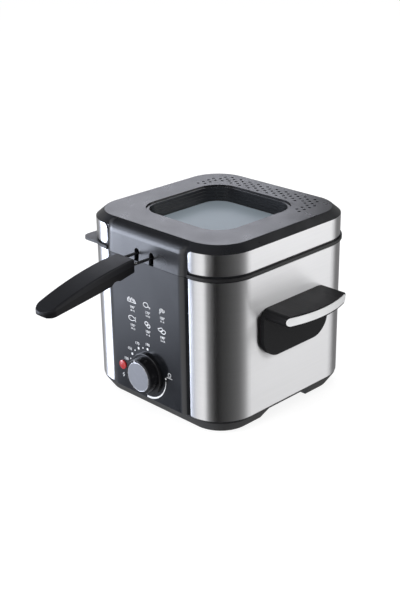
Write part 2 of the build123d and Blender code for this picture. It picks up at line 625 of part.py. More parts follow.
def knob_body():
    """Temperature knob: skirt, slightly tapered barrel and a recess for its cap."""
    back = PANEL_Y - 0.4
    front = PANEL_Y - KNOB_DEPTH
    skirt = along_y(0, KNOB_HEIGHT, KNOB_SKIRT_RADIUS, back - KNOB_SKIRT, back)
    skirt = fillet(skirt.edges().sort_by(Axis.Y)[0], 1.2)
    middle = Pos(0, (front + back) / 2, KNOB_HEIGHT)
    barrel = middle * Rot(90, 0, 0) * Cone(KNOB_RADIUS, KNOB_FRONT_RADIUS, back - front)
    barrel = fillet(barrel.edges().sort_by(Axis.Y)[0], 0.8)
    knob = skirt + barrel
    knob -= along_y(0, KNOB_HEIGHT, KNOB_CAP_RADIUS + 0.05, front - 1, front + KNOB_CAP_DEPTH)
    return knob - along_y(0, KNOB_HEIGHT, SHAFT_RADIUS + 0.02, front + 3, back + 1)


def knob_cap():
    """Metal disc in the knob's face."""
    front = PANEL_Y - KNOB_DEPTH
    cap = along_y(0, KNOB_HEIGHT, KNOB_CAP_RADIUS, front - KNOB_CAP_PROUD, front + KNOB_CAP_DEPTH)
    return chamfer(cap.edges().sort_by(Axis.Y)[0], KNOB_CAP_CHAMFER)


def thermostat_shaft():
    """Shaft that turns with the knob in the thermostat's bearing."""
    front = PANEL_Y - KNOB_DEPTH
    return along_y(0, KNOB_HEIGHT, SHAFT_RADIUS, front + 3, PANEL_Y + PLASTIC + 15)


def cord_gland():
    """Bush through the back of the steel, for the mains cord."""
    inner_end = BACK_Y - GLAND_LENGTH
    outer_end = BACK_Y + GLAND_FLANGE_THICKNESS
    neck = along_y(GLAND_X, GLAND_Z, GLAND_NECK, inner_end, BACK_Y)
    flange = along_y(GLAND_X, GLAND_Z, GLAND_FLANGE, BACK_Y, outer_end)
    inner_flange = along_y(GLAND_X, GLAND_Z, GLAND_NECK + 0.9, inner_end, inner_end + 6)
    bush = neck + flange + inner_flange
    return bush - along_y(GLAND_X, GLAND_Z, GLAND_BORE, inner_end - 1, outer_end + 1)


# ---------------------------------------------------------------- side handles
def handle_screw_rows():
    """Front-to-back places of the two screws in each side handle."""
    return [HANDLE_Y - HANDLE_SCREW_SPACING / 2, HANDLE_Y + HANDLE_SCREW_SPACING / 2]


def nose_cylinder(offset):
    """Upright cylinder whose surface is the curved nose of the right handle, moved out by the offset."""
    centre_x = SIDE_X + HANDLE_REACH - HANDLE_NOSE_RADIUS
    return upright(centre_x, HANDLE_Y, HANDLE_NOSE_RADIUS + offset, 0, LID_TOP)


def handle_shelf(margin, x_low, x_high):
    """Flat bar with round ends that makes the handle's grip, less the margin all round."""
    height = HANDLE_NOSE_HEIGHT - 2 * margin
    outline = SlotOverall(HANDLE_WIDTH - 2 * (HANDLE_SHELF_INSET + margin), height)
    middle = HANDLE_TOP - HANDLE_NOSE_HEIGHT / 2
    face = Plane(origin=(x_low, HANDLE_Y, middle), x_dir=(0, 1, 0), z_dir=(1, 0, 0)) * outline
    return extrude(face, x_high - x_low)


def side_handle():
    """Handle as on the right side: a plate against the steel and a shelf-like grip with a curved nose."""
    plate_height = HANDLE_TOP - HANDLE_BOTTOM
    sketch = Rectangle(HANDLE_WIDTH, plate_height)
    lower = sketch.vertices().group_by(Axis.Y)[0]
    sketch = fillet(lower, HANDLE_PLATE_RADIUS)
    upper = sketch.vertices().group_by(Axis.Y)[-1]
    sketch = fillet(upper, HANDLE_NOSE_HEIGHT - 1)
    middle = (HANDLE_TOP + HANDLE_BOTTOM) / 2
    face = Plane(origin=(SIDE_X, HANDLE_Y, middle), x_dir=(0, 1, 0), z_dir=(1, 0, 0)) * sketch
    plate = extrude(face, HANDLE_PLATE)
    shelf = handle_shelf(0, SIDE_X + 1, SIDE_X + HANDLE_REACH + 5) & nose_cylinder(0)
    groove_floor = HANDLE_TOP - HANDLE_NOSE_HEIGHT - 1
    groove_half = HANDLE_WIDTH / 2 - HANDLE_GROOVE_INSET
    groove = box(
        SIDE_X + HANDLE_PLATE + 3, SIDE_X + HANDLE_REACH - HANDLE_NOSE_DEPTH,
        HANDLE_Y - groove_half, HANDLE_Y + groove_half,
        groove_floor, HANDLE_TOP - HANDLE_GROOVE_ROOF,
    )
    handle = plate + shelf - fillet(groove.edges().filter_by(Axis.Z), 5)
    for y in handle_screw_rows():
        handle -= along_x(y, HANDLE_SCREW_Z, 1.4, SIDE_X - 1, SIDE_X + HANDLE_PLATE - 1)
    return handle


def side_handle_right():
    """Handle on the right side of the body."""
    return side_handle()


def side_handle_left():
    """Handle on the left side of the body."""
    return mirror(side_handle(), Plane.YZ)


def handle_trim():
    """Thin metal strip on the nose of the right handle."""
    skin = handle_shelf(HANDLE_TRIM_MARGIN, SIDE_X + 5, SIDE_X + HANDLE_REACH + 5)
    return skin & (nose_cylinder(HANDLE_TRIM) - nose_cylinder(0))


def handle_trim_right():
    """Metal strip on the right handle."""
    return handle_trim()


def handle_trim_left():
    """Metal strip on the left handle."""
    return mirror(handle_trim(), Plane.YZ)


def handle_screws():
    """Screws from inside the steel into both handles."""
    screws = []
    for y in handle_screw_rows():
        head = along_x(y, HANDLE_SCREW_Z, 3.8, SIDE_X - STEEL - 2.5, SIDE_X - STEEL)
        screw = head + along_x(y, HANDLE_SCREW_Z, 1.35, SIDE_X - STEEL, SIDE_X + HANDLE_PLATE - 1.5)
        screws.append(screw)
        screws.append(mirror(screw, Plane.YZ))
    return group(screws)


# ---------------------------------------------------------------- lid
def slot_cutters():
    """The two round-topped slots, open at the bottom, that the handle wires pass through."""
    cutters = []
    for side in (-1, 1):
        x = side * SLOT_SPACING / 2
        half = SLOT_WIDTH / 2
        shank = box(x - half, x + half, PANEL_Y - 2, FRONT_Y + 20, COLLAR_TOP - 3, SLOT_TOP - half)
        cutters.append(shank + along_y(x, SLOT_TOP - half, half, PANEL_Y - 2, FRONT_Y + 20))
    return cutters


def vent_places():
    """Staggered vent holes along the back of the lid, turned forward at both ends."""
    places = []
    for column in range(-11, 12):
        x = column * VENT_COLUMN_PITCH
        stagger = VENT_HOLE_PITCH / 2 if column % 2 == 0 else 0
        first = VENT_BACK_Y - stagger
        rows = 2 if stagger else 3
        if abs(column) == 11:
            first = VENT_BACK_Y - 2 * VENT_HOLE_PITCH
            rows = 4
        if abs(column) == 10:
            rows = 5
        places += [(x, first - VENT_HOLE_PITCH * row) for row in range(rows)]
    return places


def lid_screw_places():
    """Where the liner is screwed to the lid's bosses."""
    return corners(LID_SCREW_X, LID_SCREW_Y)


def lid_apron(shrink, z_low, z_high, top_round):
    """Front part of the lid that hangs over the panel, rounded into the lid's top."""
    lean = APRON_LEAN * (z_high - z_low) / (LID_TOP - COLLAR_TOP)
    block = panel_block(z_low, z_high, shrink, APRON_BACK, lean)
    return fillet(front_edges(block.faces().sort_by(Axis.Z)[-1]), top_round)


def lid_flare():
    """Flared sides of the apron above the steel band, which run out into the shoulder."""
    edge = PANEL_WIDTH / 2 + APRON_FLARE
    rear = FRONT_Y + APRON_BACK
    outline = bumped_outline(PANEL_Y, PANEL_FLAT / 2, FRONT_Y, edge, rear)
    block = bumped_block(outline, COLLAR_TOP, LID_TOP, APRON_LEAN)
    flare = fillet(front_edges(block.faces().sort_by(Axis.Z)[-1]), APRON_ROUND)
    return flare & box(-edge - 1, edge + 1, PANEL_Y - 1, rear + 1, BAND_TOP, LID_TOP + 1)


def lid_shell():
    """Lid's top moulding: shoulder, wall behind the steel band, apron, window recess and vents."""
    shell = plan_slab(LID_WALL_INSET, RIM_TOP, BAND_TOP + 0.1)
    shoulder = plan_taper(0, BAND_TOP, SHOULDER_INSET, LID_TOP, SHOULDER_RADIUS)
    shell += fillet(shoulder.faces().sort_by(Axis.Z)[-1].edges(), 1.5)
    shell += lid_apron(0, COLLAR_TOP + 0.1, LID_TOP, APRON_ROUND) + lid_flare()
    hollow_inset = LID_WALL_INSET + LID_WALL
    hollow = plan_slab(hollow_inset, RIM_TOP - 5, BAND_TOP - 2)
    hollow += plan_taper(hollow_inset, BAND_TOP - 2, SHOULDER_INSET + 3, LID_TOP - TOP_WALL)
    shell -= hollow + lid_apron(PLASTIC, COLLAR_TOP - 3, LID_TOP - 8, 3)
    well = WINDOW_SIZE + 5
    shell += slab(well, well, WINDOW_RADIUS + 2.5, WELL_BOTTOM, LID_TOP)
    for x, y in lid_screw_places():
        shell += upright(x, y, LID_BOSS_RADIUS, LINER_TOP, LID_TOP - 1)
    for cutter in window_cutters() + slot_cutters():
        shell -= cutter
    for x, y in vent_places():
        shell -= upright(x, y, VENT_RADIUS, LID_TOP - TOP_WALL - 3, LID_TOP + 1)
    for x, y in lid_screw_places():
        shell -= upright(x, y, 1.45, LINER_TOP - 1, LINER_TOP + 13)
    return shell


def window_cutters():
    """The window's recess from its mouth down: a ledge, then a wall with ridges that step inward."""
    ledge = LID_TOP - WINDOW_STEP_DEPTH
    cutters = [slab(WINDOW_SIZE, WINDOW_SIZE, WINDOW_RADIUS, ledge, LID_TOP + 1)]
    for index in range(WINDOW_RIDGES + 1):
        inward = index * WINDOW_RIDGE
        size = WELL_SIZE - 2 * inward
        floor = ledge - (index + 1) * WINDOW_RIDGE_DEPTH if index < WINDOW_RIDGES else WELL_BOTTOM - 1
        cutters.append(slab(size, size, WELL_RADIUS - inward, floor, LID_TOP))
    return cutters


def lid_band():
    """Steel band round the lid, open at the front, with rounded ends."""
    band = plan_ring(0, STEEL, BAND_BOTTOM, BAND_TOP)
    half = PANEL_WIDTH / 2
    reach = 2 * BAND_END_RADIUS
    window = box(-half - reach, half + reach, FRONT_Y - 2, FRONT_Y + 25, BAND_BOTTOM - 1, BAND_TOP + 1)
    for side in (-1, 1):
        origin = (side * (half + SIDE_X / 2), FRONT_Y - 3, (BAND_BOTTOM + BAND_TOP) / 2)
        end = Plane(origin=origin, x_dir=(1, 0, 0), z_dir=(0, 1, 0))
        window -= extrude(end * RectangleRounded(SIDE_X, BAND_HEIGHT, BAND_END_RADIUS), 30)
    return band - window


def lid_rim():
    """Ring under the lid that rests on the collar, with a thumb tab at the left front corner."""
    flange = plan_slab(-RIM_PROUD, COLLAR_TOP, RIM_TOP)
    tab_x = -SIDE_X - 1.0
    tab_y = FRONT_Y + 1.2
    size = 60.0
    tab = Pos(tab_x + size / 2, tab_y + size / 2, COLLAR_TOP + 0.4) * RectangleRounded(size, size, TAB_RADIUS)
    rim = flange + extrude(tab, 2.6)
    rim += plan_ring(STEEL + 2.8, STEEL + 4.6, RIM_TOP, RIM_TOP + 6)
    deck_inset = 12.0
    rim -= plan_slab(STEEL + 4.6, COLLAR_TOP + RIM_FLOOR, RIM_TOP + 8)
    rim -= plan_slab(deck_inset, COLLAR_TOP - 1, RIM_TOP)
    half = PANEL_WIDTH / 2 + 0.1
    return rim - box(-half, half, FRONT_Y - 10, FRONT_Y + 40, COLLAR_TOP - 1, RIM_TOP + 8)


def lid_liner():
    """Inner cover of the lid: carries the pane and the filter, and bears on the pot's seal."""
    liner = plan_slab(STEEL + 3.6, LINER_BOTTOM, LINER_TOP)
    margin = SEAL_OUTER - 0.5
    outer = 2 * (POT_SIDE + margin)
    inner = outer - 2 * LINER_WALL
    skirt_low = COLLAR_TOP + SEAL_HEIGHT + 0.2
    skirt = slab(outer, outer, POT_RADIUS + margin, skirt_low, LINER_BOTTOM)
    skirt -= slab(inner, inner, POT_RADIUS + margin - LINER_WALL, skirt_low - 1, LINER_BOTTOM)
    passage = (SLOT_SPACING + SLOT_WIDTH) / 2 + 3
    skirt -= box(-passage, passage, FRONT_Y, 0, skirt_low - 1, LINER_BOTTOM - 0.8)
    liner += skirt
    inward = RIDGES_IN + 2
    opening = WELL_SIZE - 2 * inward
    liner -= slab(opening, opening, WELL_RADIUS - inward, LINER_BOTTOM - 5, LINER_TOP + 5)
    liner -= filter_window(-FILTER_OPENING, FILTER_OPENING)
    for x, y in lid_screw_places():
        liner -= upright(x, y, 1.8, LINER_BOTTOM - 1, LINER_TOP + 1)
    return liner


def filter_window(x_low, x_high):
    """Cutter for openings under the grease filter, inside the border on which it lies."""
    front = FILTER_FRONT_Y + FILTER_BORDER - 1.5
    rear = FILTER_BACK_Y - FILTER_BORDER
    return box(x_low, x_high, front, rear, LINER_BOTTOM - 3, LINER_TOP + 1)


def window_gasket():
    """Grooved silicone frame round the pane."""
    outer = WINDOW_SIZE + 1.0
    inward = RIDGES_IN + 0.5
    inner = WELL_SIZE - 2 * inward
    gasket = slab(outer, outer, WINDOW_RADIUS + 0.5, LINER_TOP, WELL_BOTTOM)
    gasket -= slab(inner, inner, WELL_RADIUS - inward, LINER_TOP - 1, WELL_BOTTOM + 1)
    return gasket - slab(PANE_SIZE, PANE_SIZE, PANE_RADIUS, PANE_BOTTOM, PANE_TOP)


def window_pane():
    """Pane of the lid's window."""
    return slab(PANE_SIZE, PANE_SIZE, PANE_RADIUS, PANE_BOTTOM, PANE_TOP)


def grease_filter():
    """Filter pad over the liner's rear opening, under the vents."""
    top = LINER_TOP + FILTER_THICKNESS
    return box(-FILTER_HALF, FILTER_HALF, FILTER_FRONT_Y, FILTER_BACK_Y, LINER_TOP, top)


def filter_cover():
    """Slotted grille below the filter pad, against the liner."""
    rear = FILTER_BACK_Y - 1.5
    cover = box(-FILTER_HALF, FILTER_HALF, FILTER_FRONT_Y, rear, LINER_BOTTOM - 1.5, LINER_BOTTOM)
    pitch = 2 * FILTER_OPENING / FILTER_SLOTS
    for index in range(FILTER_SLOTS):
        x = -FILTER_OPENING + pitch * (index + 0.5)
        cover -= filter_window(x - FILTER_SLOT_WIDTH / 2, x + FILTER_SLOT_WIDTH / 2)
    return cover


def lid_screws():
    """Screws that hold the liner to the lid's bosses."""
    screws = []
    for x, y in lid_screw_places():
        head = upright(x, y, 3.2, LINER_BOTTOM - 2, LINER_BOTTOM)
        screws.append(head + upright(x, y, 1.4, LINER_BOTTOM, LINER_TOP + 11))
    return group(screws)


# ---------------------------------------------------------------- basket
def basket_mesh():
    """Mesh cup of the basket, as a thin wall with its real outer shape and its open top."""
    top = BASKET_RIM - BASKET_WIRE / 2
    outer = slab(BASKET_SIZE, BASKET_SIZE, BASKET_RADIUS, BASKET_FLOOR, top)
    outer = fillet(outer.faces().sort_by(Axis.Z)[0].edges(), 7)
    size = BASKET_SIZE - 2 * BASKET_WALL
    inner = slab(size, size, BASKET_RADIUS - BASKET_WALL, BASKET_FLOOR + BASKET_WALL, top + 5)
    inner = fillet(inner.faces().sort_by(Axis.Z)[0].edges(), 7 - BASKET_WALL)
    return outer - inner


def basket_rim():
    """Wire round the basket's mouth."""
    middle = BASKET_SIZE - BASKET_WALL
    outline = RectangleRounded(middle, middle, BASKET_RADIUS - BASKET_WALL / 2)
    path = Pos(0, 0, BASKET_RIM) * outline.wire()
    start = path @ 0
    section = Plane(origin=start, z_dir=path % 0) * Circle(BASKET_WIRE / 2)
    return sweep(section, path=path)


def basket_skids():
    """Two wires under the basket that stand on the pot's floor."""
    z = BASKET_FLOOR - BASKET_WIRE / 2
    half = BASKET_SIDE - 14
    return group([along_x(y, z, BASKET_WIRE / 2, -half, half) for y in (-38, 38)])


def basket_bracket():
    """Bent sheet on the basket's front that carries the handle's wires above the rim."""
    low = BRACKET_BOTTOM
    bend = BASKET_RIM - BRACKET_BEND
    bend_low = bend - BRACKET_BEND_HEIGHT
    wall = -BASKET_SIDE
    upper = BRACKET_Y
    sheet = BRACKET_SHEET
    points = [
        (wall, low), (wall, bend_low), (upper, bend), (upper, BRACKET_TOP),
        (upper - sheet, BRACKET_TOP), (upper - sheet, bend - 0.4),
        (wall - sheet, bend_low - 0.4), (wall - sheet, low),
    ]
    outline = make_face(Polyline(*points, close=True))
    bracket = extrude(Plane.YZ * outline, BRACKET_WIDTH / 2, both=True)
    hole = WIRE_DIAMETER / 2 + WIRE_FIT
    for side in (-1, 1):
        bracket -= along_y(side * SLOT_SPACING / 2, WIRE_HEIGHT, hole, -BASKET_SIDE - 9, 0)
    return bracket


def handle_wires():
    """Two straight wires from the bracket through the lid's slots into the grip."""
    front_y = BRACKET_Y - BRACKET_SHEET
    end_y = BRACKET_Y + SWAGE
    collar = WIRE_DIAMETER * SWAGE_RADIUS
    wires = []
    for side in (-1, 1):
        x = side * SLOT_SPACING / 2
        wire = along_y(x, WIRE_HEIGHT, WIRE_DIAMETER / 2, GRIP_REAR_Y - WIRE_SOCKET, end_y)
        wire += along_y(x, WIRE_HEIGHT, collar, BRACKET_Y + 0.05, end_y)
        wire += along_y(x, WIRE_HEIGHT, collar, front_y - SWAGE, front_y - 0.05)
        wires.append(wire)
    return group(wires)


def grip_plan(z_low, z_high):
    """Upright block with the grip's plan: widest before the middle, round at the tip."""
    wide = GRIP_WIDTH / 2
    left_points = [
        (GRIP_SLIM_REAR - wide, GRIP_REAR_Y), (-wide, GRIP_MIDDLE_Y),
        (GRIP_SLIM_TIP - wide, GRIP_TIP_Y + GRIP_TIP_LENGTH),
    ]
    left = Spline(*left_points)
    right = Spline(*[(-x, y) for x, y in reversed(left_points)])
    tip = ThreePointArc(left @ 1, (0, GRIP_TIP_Y), right @ 0)
    rear = Line(right @ 1, left @ 0)
    outline = make_face([left, tip, right, rear])
    return extrude(Pos(0, 0, z_low) * outline, z_high - z_low)


def grip_side(drop, underside):
    """Block as wide as the grip, from its top line lowered by the drop down to the underside's points."""
    rear_top = (GRIP_REAR_Y, GRIP_REAR_TOP - drop)
    tip_top = (GRIP_TIP_Y, GRIP_TIP_TOP - drop * GRIP_SHELL_TIP)
    middle_top = (GRIP_MIDDLE_Y, GRIP_REAR_TOP - GRIP_FALL_MIDDLE - drop)
    top = ThreePointArc(rear_top, middle_top, tip_top)
    outline = make_face([top, Polyline(tip_top, *underside, rear_top)])
    return extrude(Plane.YZ * outline, GRIP_WIDTH, both=True)


def grip_solid():
    """Whole grip with softened edges: thick behind the tip, with a step for the finger at the rear."""
    tip = [(GRIP_TIP_Y + run, GRIP_TIP_TOP - depth) for run, depth in GRIP_TIP_CURVE]
    step_top = GRIP_STEP_Z + GRIP_STEP_RISE
    underside = tip + [
        (GRIP_STEP_Y, GRIP_STEP_Z), (GRIP_STEP_Y + 3.8, step_top),
        (GRIP_STEP_Y + 8, step_top + 0.4), (GRIP_STEP_Y + 11, step_top - 0.6),
        (GRIP_REAR_Y, GRIP_REAR_TOP - GRIP_REAR_HEIGHT),
    ]
    grip = grip_side(0, underside) & grip_plan(GRIP_FLOOR, GRIP_REAR_TOP + 10)
    return fillet(grip.edges(), GRIP_EDGE)


def below_parting(drop):
    """Everything below the line where the grip's two shells meet."""
    underside = [
        (GRIP_TIP_Y - 5, GRIP_TIP_TOP - drop * GRIP_SHELL_TIP), (GRIP_TIP_Y - 5, GRIP_FLOOR),
        (GRIP_REAR_Y + 5, GRIP_FLOOR), (GRIP_REAR_Y + 5, GRIP_REAR_TOP - drop),
    ]
    return grip_side(drop, underside)


def wire_sockets(body):
    """The body less the two blind holes that the handle's wires are pressed into."""
    for side in (-1, 1):
        x = side * SLOT_SPACING / 2
        radius = WIRE_DIAMETER / 2 + WIRE_FIT
        body -= along_y(x, WIRE_HEIGHT, radius, GRIP_REAR_Y - WIRE_SOCKET - 1, GRIP_REAR_Y + 5)
    return body


def grip_upper():
    """Upper shell of the handle's grip."""
    upper = wire_sockets(grip_solid() - below_parting(GRIP_SHELL))
    return upper - screw_bore()


def grip_lower():
    """Lower shell of the handle's grip."""
    lower = wire_sockets(grip_solid() & below_parting(GRIP_SHELL + GRIP_PARTING))
    return lower - screw_bore() - upright(0, GRIP_SCREW_Y, 2.6, GRIP_FLOOR, GRIP_SCREW_Z)


def screw_bore():
    """Cutter for the blind hole of the grip's screw."""
    return upright(0, GRIP_SCREW_Y, 1.3, GRIP_SCREW_Z - 1, GRIP_SCREW_Z + GRIP_SCREW_LENGTH + 0.5)


def grip_screw():
    """Screw that holds the grip's shells together."""
    head = upright(0, GRIP_SCREW_Y, 2.5, GRIP_SCREW_Z - 2, GRIP_SCREW_Z)
    return head + upright(0, GRIP_SCREW_Y, 1.25, GRIP_SCREW_Z - 0.1, GRIP_SCREW_Z + GRIP_SCREW_LENGTH)


NODES = [
    base_tray, foot_pads, base_screws, body_wrap, collar_frame, front_panel, oil_pot, pot_seal,
    heating_element, element_plate, plate_nuts, thermal_cutout, thermostat, sensor_tube,
    terminal_block, internal_leads, lamp_lens, lamp_holder, knob_body, knob_cap, thermostat_shaft,
    cord_gland, side_handle_right, side_handle_left, handle_trim_right, handle_trim_left,
    handle_screws, lid_shell, lid_band, lid_rim, lid_liner, window_gasket, window_pane,
    grease_filter, filter_cover, lid_screws, basket_mesh, basket_rim, basket_skids,
    basket_bracket, handle_wires, grip_upper, grip_lower, grip_screw,
]


def main():
    """Write each node to its own STEP file."""
    os.makedirs("parts", exist_ok=True)
    for build in NODES:
        export_step(build(), f"parts/{build.__name__}.step")


main()
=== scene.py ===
"""Looks of the compact deep fryer: materials, printed panel, woven basket, studio and camera.

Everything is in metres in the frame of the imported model: +Z up, the front faces -Y.
"""

import math

import bmesh
import bpy
from mathutils import Matrix, Quaternion, Vector

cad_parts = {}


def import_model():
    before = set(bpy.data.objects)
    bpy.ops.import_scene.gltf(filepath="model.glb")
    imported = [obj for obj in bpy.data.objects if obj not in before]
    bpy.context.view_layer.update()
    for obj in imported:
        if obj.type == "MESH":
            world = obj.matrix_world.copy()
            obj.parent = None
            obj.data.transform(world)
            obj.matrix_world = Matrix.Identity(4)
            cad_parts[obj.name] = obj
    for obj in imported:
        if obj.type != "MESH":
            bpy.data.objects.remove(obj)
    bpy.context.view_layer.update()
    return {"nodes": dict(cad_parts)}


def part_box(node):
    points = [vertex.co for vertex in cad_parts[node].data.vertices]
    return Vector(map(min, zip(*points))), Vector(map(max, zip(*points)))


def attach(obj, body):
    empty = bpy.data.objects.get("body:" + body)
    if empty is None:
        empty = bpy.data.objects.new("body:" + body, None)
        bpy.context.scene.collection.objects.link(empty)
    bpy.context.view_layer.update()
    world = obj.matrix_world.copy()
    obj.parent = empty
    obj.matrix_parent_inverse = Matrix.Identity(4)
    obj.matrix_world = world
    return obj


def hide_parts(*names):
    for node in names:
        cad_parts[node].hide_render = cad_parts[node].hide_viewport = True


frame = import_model()
nodes = frame["nodes"]

MM = 0.001
MICRON = 0.001 * MM

# ---------------------------------------------------------------- which node has which material slot
SLOTS = {
    "brushed_steel": ["body_wrap", "lid_band"],
    "trim_silver": ["handle_trim_right", "handle_trim_left"],
    "lid_plastic": ["lid_shell"],
    "panel_plastic": ["front_panel"],
    "base_plastic": ["base_tray", "collar_frame", "lid_rim"],
    "handle_plastic": ["side_handle_right", "side_handle_left"],
    "grip_top_plastic": ["grip_upper"],
    "grip_low_plastic": ["grip_lower"],
    "knob_plastic": ["knob_body"],
    "knob_metal": ["knob_cap"],
    "plated_steel": [
        "thermostat_shaft", "base_screws", "handle_screws", "lid_screws", "plate_nuts", "grip_screw",
        "element_plate", "basket_rim", "basket_skids", "basket_bracket", "handle_wires", "thermal_cutout",
    ],
    "foot_rubber": ["foot_pads"],
    "silicone": ["cord_gland", "pot_seal", "window_gasket"],
    "window_glass": ["window_pane"],
    "pot_coating": ["oil_pot"],
    "element_steel": ["heating_element"],
    "switch_plastic": ["thermostat"],
    "copper_tube": ["sensor_tube"],
    "terminal_plastic": ["terminal_block"],
    "lead_insulation": ["internal_leads"],
    "lamp_red": ["lamp_lens"],
    "lamp_housing": ["lamp_holder"],
    "liner_plastic": ["lid_liner", "filter_cover"],
    "filter_felt": ["grease_filter"],
}


# ---------------------------------------------------------------- node tools
def maths(tree, operation, *values):
    """One step of arithmetic on outputs and numbers."""
    made = tree.nodes.new("ShaderNodeMath")
    made.operation = operation
    for socket, value in zip(made.inputs, values):
        if isinstance(value, (int, float)):
            socket.default_value = value
        else:
            tree.links.new(value, socket)
    return made.outputs[0]


def map_range(tree, value, low, high, to_low=0.0, to_high=1.0):
    """Number that runs from to_low to to_high while the value runs from low to high."""
    made = tree.nodes.new("ShaderNodeMapRange")
    made.inputs["From Min"].default_value = low
    made.inputs["From Max"].default_value = high
    made.inputs["To Min"].default_value = to_low
    made.inputs["To Max"].default_value = to_high
    tree.links.new(value, made.inputs["Value"])
    return made.outputs["Result"]


def mix_colours(tree, share, *colours):
    """Blend of two colours, each written out or the output of a node; a share of 1 is all the second."""
    made = tree.nodes.new("ShaderNodeMix")
    made.data_type = "RGBA"
    tree.links.new(share, made.inputs["Factor"])
    ends = [socket for socket in made.inputs if socket.type == "RGBA"]
    for socket, colour in zip(ends, colours):
        if isinstance(colour, tuple):
            socket.default_value = (*colour, 1.0)
        else:
            tree.links.new(colour, socket)
    return next(socket for socket in made.outputs if socket.type == "RGBA")


# ---------------------------------------------------------------- material tools
NOISE_LOW = 0.3                # nearly all of a noise lies between these two values
NOISE_HIGH = 0.7


class Surface:
    """One Principled material, with short calls for the procedural detail that it needs."""

    def __init__(self, name, colour, roughness, metallic=0.0, **sockets):
        self.name = name
        self.colour = colour
        self.material = bpy.data.materials.new(name)
        self.material.use_nodes = True
        self.tree = self.material.node_tree
        self.shader = self.tree.nodes["Principled BSDF"]
        self.set("Base Color", (*colour, 1.0))
        self.set("Roughness", roughness)
        self.set("Metallic", metallic)
        for socket, value in sockets.items():
            self.set(socket.replace("_", " "), value)

    def set(self, socket, value):
        """Constant on one of the shader's own sockets."""
        self.shader.inputs[socket].default_value = value

    def node(self, kind, **values):
        """New node; each value goes to the input of that name."""
        made = self.tree.nodes.new(kind)
        for socket, value in values.items():
            made.inputs[socket].default_value = value
        return made

    def link(self, source, target):
        """Joins an output to an input."""
        self.tree.links.new(source, target)

    def noise(self, scale=1.0, detail=2.0, stretch=(1.0, 1.0, 1.0)):
        """Noise with about scale x stretch blobs to the metre along X, Y and Z."""
        coordinates = self.node("ShaderNodeTexCoord")
        mapping = self.node("ShaderNodeMapping", Scale=stretch)
        made = self.node("ShaderNodeTexNoise", Scale=scale, Detail=detail)
        self.link(coordinates.outputs["Object"], mapping.inputs["Vector"])
        self.link(mapping.outputs["Vector"], made.inputs["Vector"])
        return made.outputs["Fac"]

    def vary_colour(self, noise, darkest, lightest):
        """Base colour made darker or lighter by the noise, between two factors."""
        share = map_range(self.tree, noise, NOISE_LOW, NOISE_HIGH)
        shades = [tuple(channel * factor for channel in self.colour) for factor in (darkest, lightest)]
        self.link(mix_colours(self.tree, share, *shades), self.shader.inputs["Base Color"])

    def vary_roughness(self, noise, low, high):
        """Roughness varied by the noise between two values."""
        varied = map_range(self.tree, noise, NOISE_LOW, NOISE_HIGH, low, high)
        self.link(varied, self.shader.inputs["Roughness"])

    def bump(self, *layers):
        """Surface relief from pairs of a noise and its height in metres."""
        normal = None
        for noise, height in layers:
            made = self.node("ShaderNodeBump", Strength=1.0, Distance=height)
            self.link(noise, made.inputs["Height"])
            if normal is not None:
                self.link(normal, made.inputs["Normal"])
            normal = made.outputs["Normal"]
        self.link(normal, self.shader.inputs["Normal"])


# ---------------------------------------------------------------- materials
DEEP_BLACK = (0.006, 0.006, 0.007)
COOL_BLACK = (0.008, 0.0085, 0.0105)


def plastic(name, colour, roughness, grain=30 * MICRON, waviness=5 * MICRON, **sockets):
    """Moulded plastic: spark-eroded grain, faint waviness and clouding, and slightly uneven gloss."""
    made = Surface(name, colour, roughness, **sockets)
    clouds = made.noise(scale=35.0, detail=3.0)
    made.vary_colour(clouds, 0.88, 1.12)
    made.vary_roughness(clouds, roughness - 0.03, roughness + 0.04)
    made.bump((made.noise(scale=2200.0), grain), (made.noise(scale=420.0, detail=3.0), waviness))
    return made


def handle_plastic():
    """Black side handles, with the faint cross lines that their tops show."""
    made = Surface("handle_plastic", (0.010, 0.010, 0.011), 0.55, Specular_IOR_Level=0.12)
    lines = made.noise(detail=3.0, stretch=(40.0, 900.0, 900.0))
    made.vary_colour(lines, 0.7, 1.5)
    made.vary_roughness(lines, 0.48, 0.6)
    made.bump((lines, 20 * MICRON), (made.noise(scale=2200.0), 20 * MICRON))
    return made


def brushed_steel():
    """Satin stainless sheet brushed round the body, so that highlights are drawn out upwards."""
    colour = (0.60, 0.60, 0.61)
    made = Surface("brushed_steel", colour, 0.34, metallic=1.0, Anisotropic=0.95, Anisotropic_Rotation=0.25)
    hairlines = made.noise(detail=3.0, stretch=(26.0, 26.0, 2600.0))
    streaks = made.noise(stretch=(9.0, 9.0, 420.0))
    made.vary_colour(streaks, 0.985, 1.012)
    made.vary_roughness(hairlines, 0.31, 0.38)
    made.bump((hairlines, 1.2 * MICRON), (streaks, 1.0 * MICRON))
    tangent = made.node("ShaderNodeTangent")
    tangent.direction_type = "RADIAL"
    tangent.axis = "Z"
    made.link(tangent.outputs["Tangent"], made.shader.inputs["Tangent"])
    return made


def trim_silver():
    """Satin strip on the handles' noses."""
    made = Surface("trim_silver", (0.78, 0.785, 0.79), 0.46, metallic=0.2)
    fine = made.noise(scale=3000.0)
    made.vary_colour(made.noise(scale=60.0), 0.96, 1.03)
    made.vary_roughness(fine, 0.42, 0.50)
    made.bump((fine, 4 * MICRON))
    return made


def knob_metal():
    """Disc in the knob, finely blasted."""
    made = Surface("knob_metal", (0.25, 0.255, 0.27), 0.5, metallic=1.0)
    fine = made.noise(scale=3500.0)
    made.vary_colour(made.noise(scale=300.0, detail=3.0), 0.95, 1.04)
    made.vary_roughness(fine, 0.46, 0.54)
    made.bump((fine, 8 * MICRON))
    return made


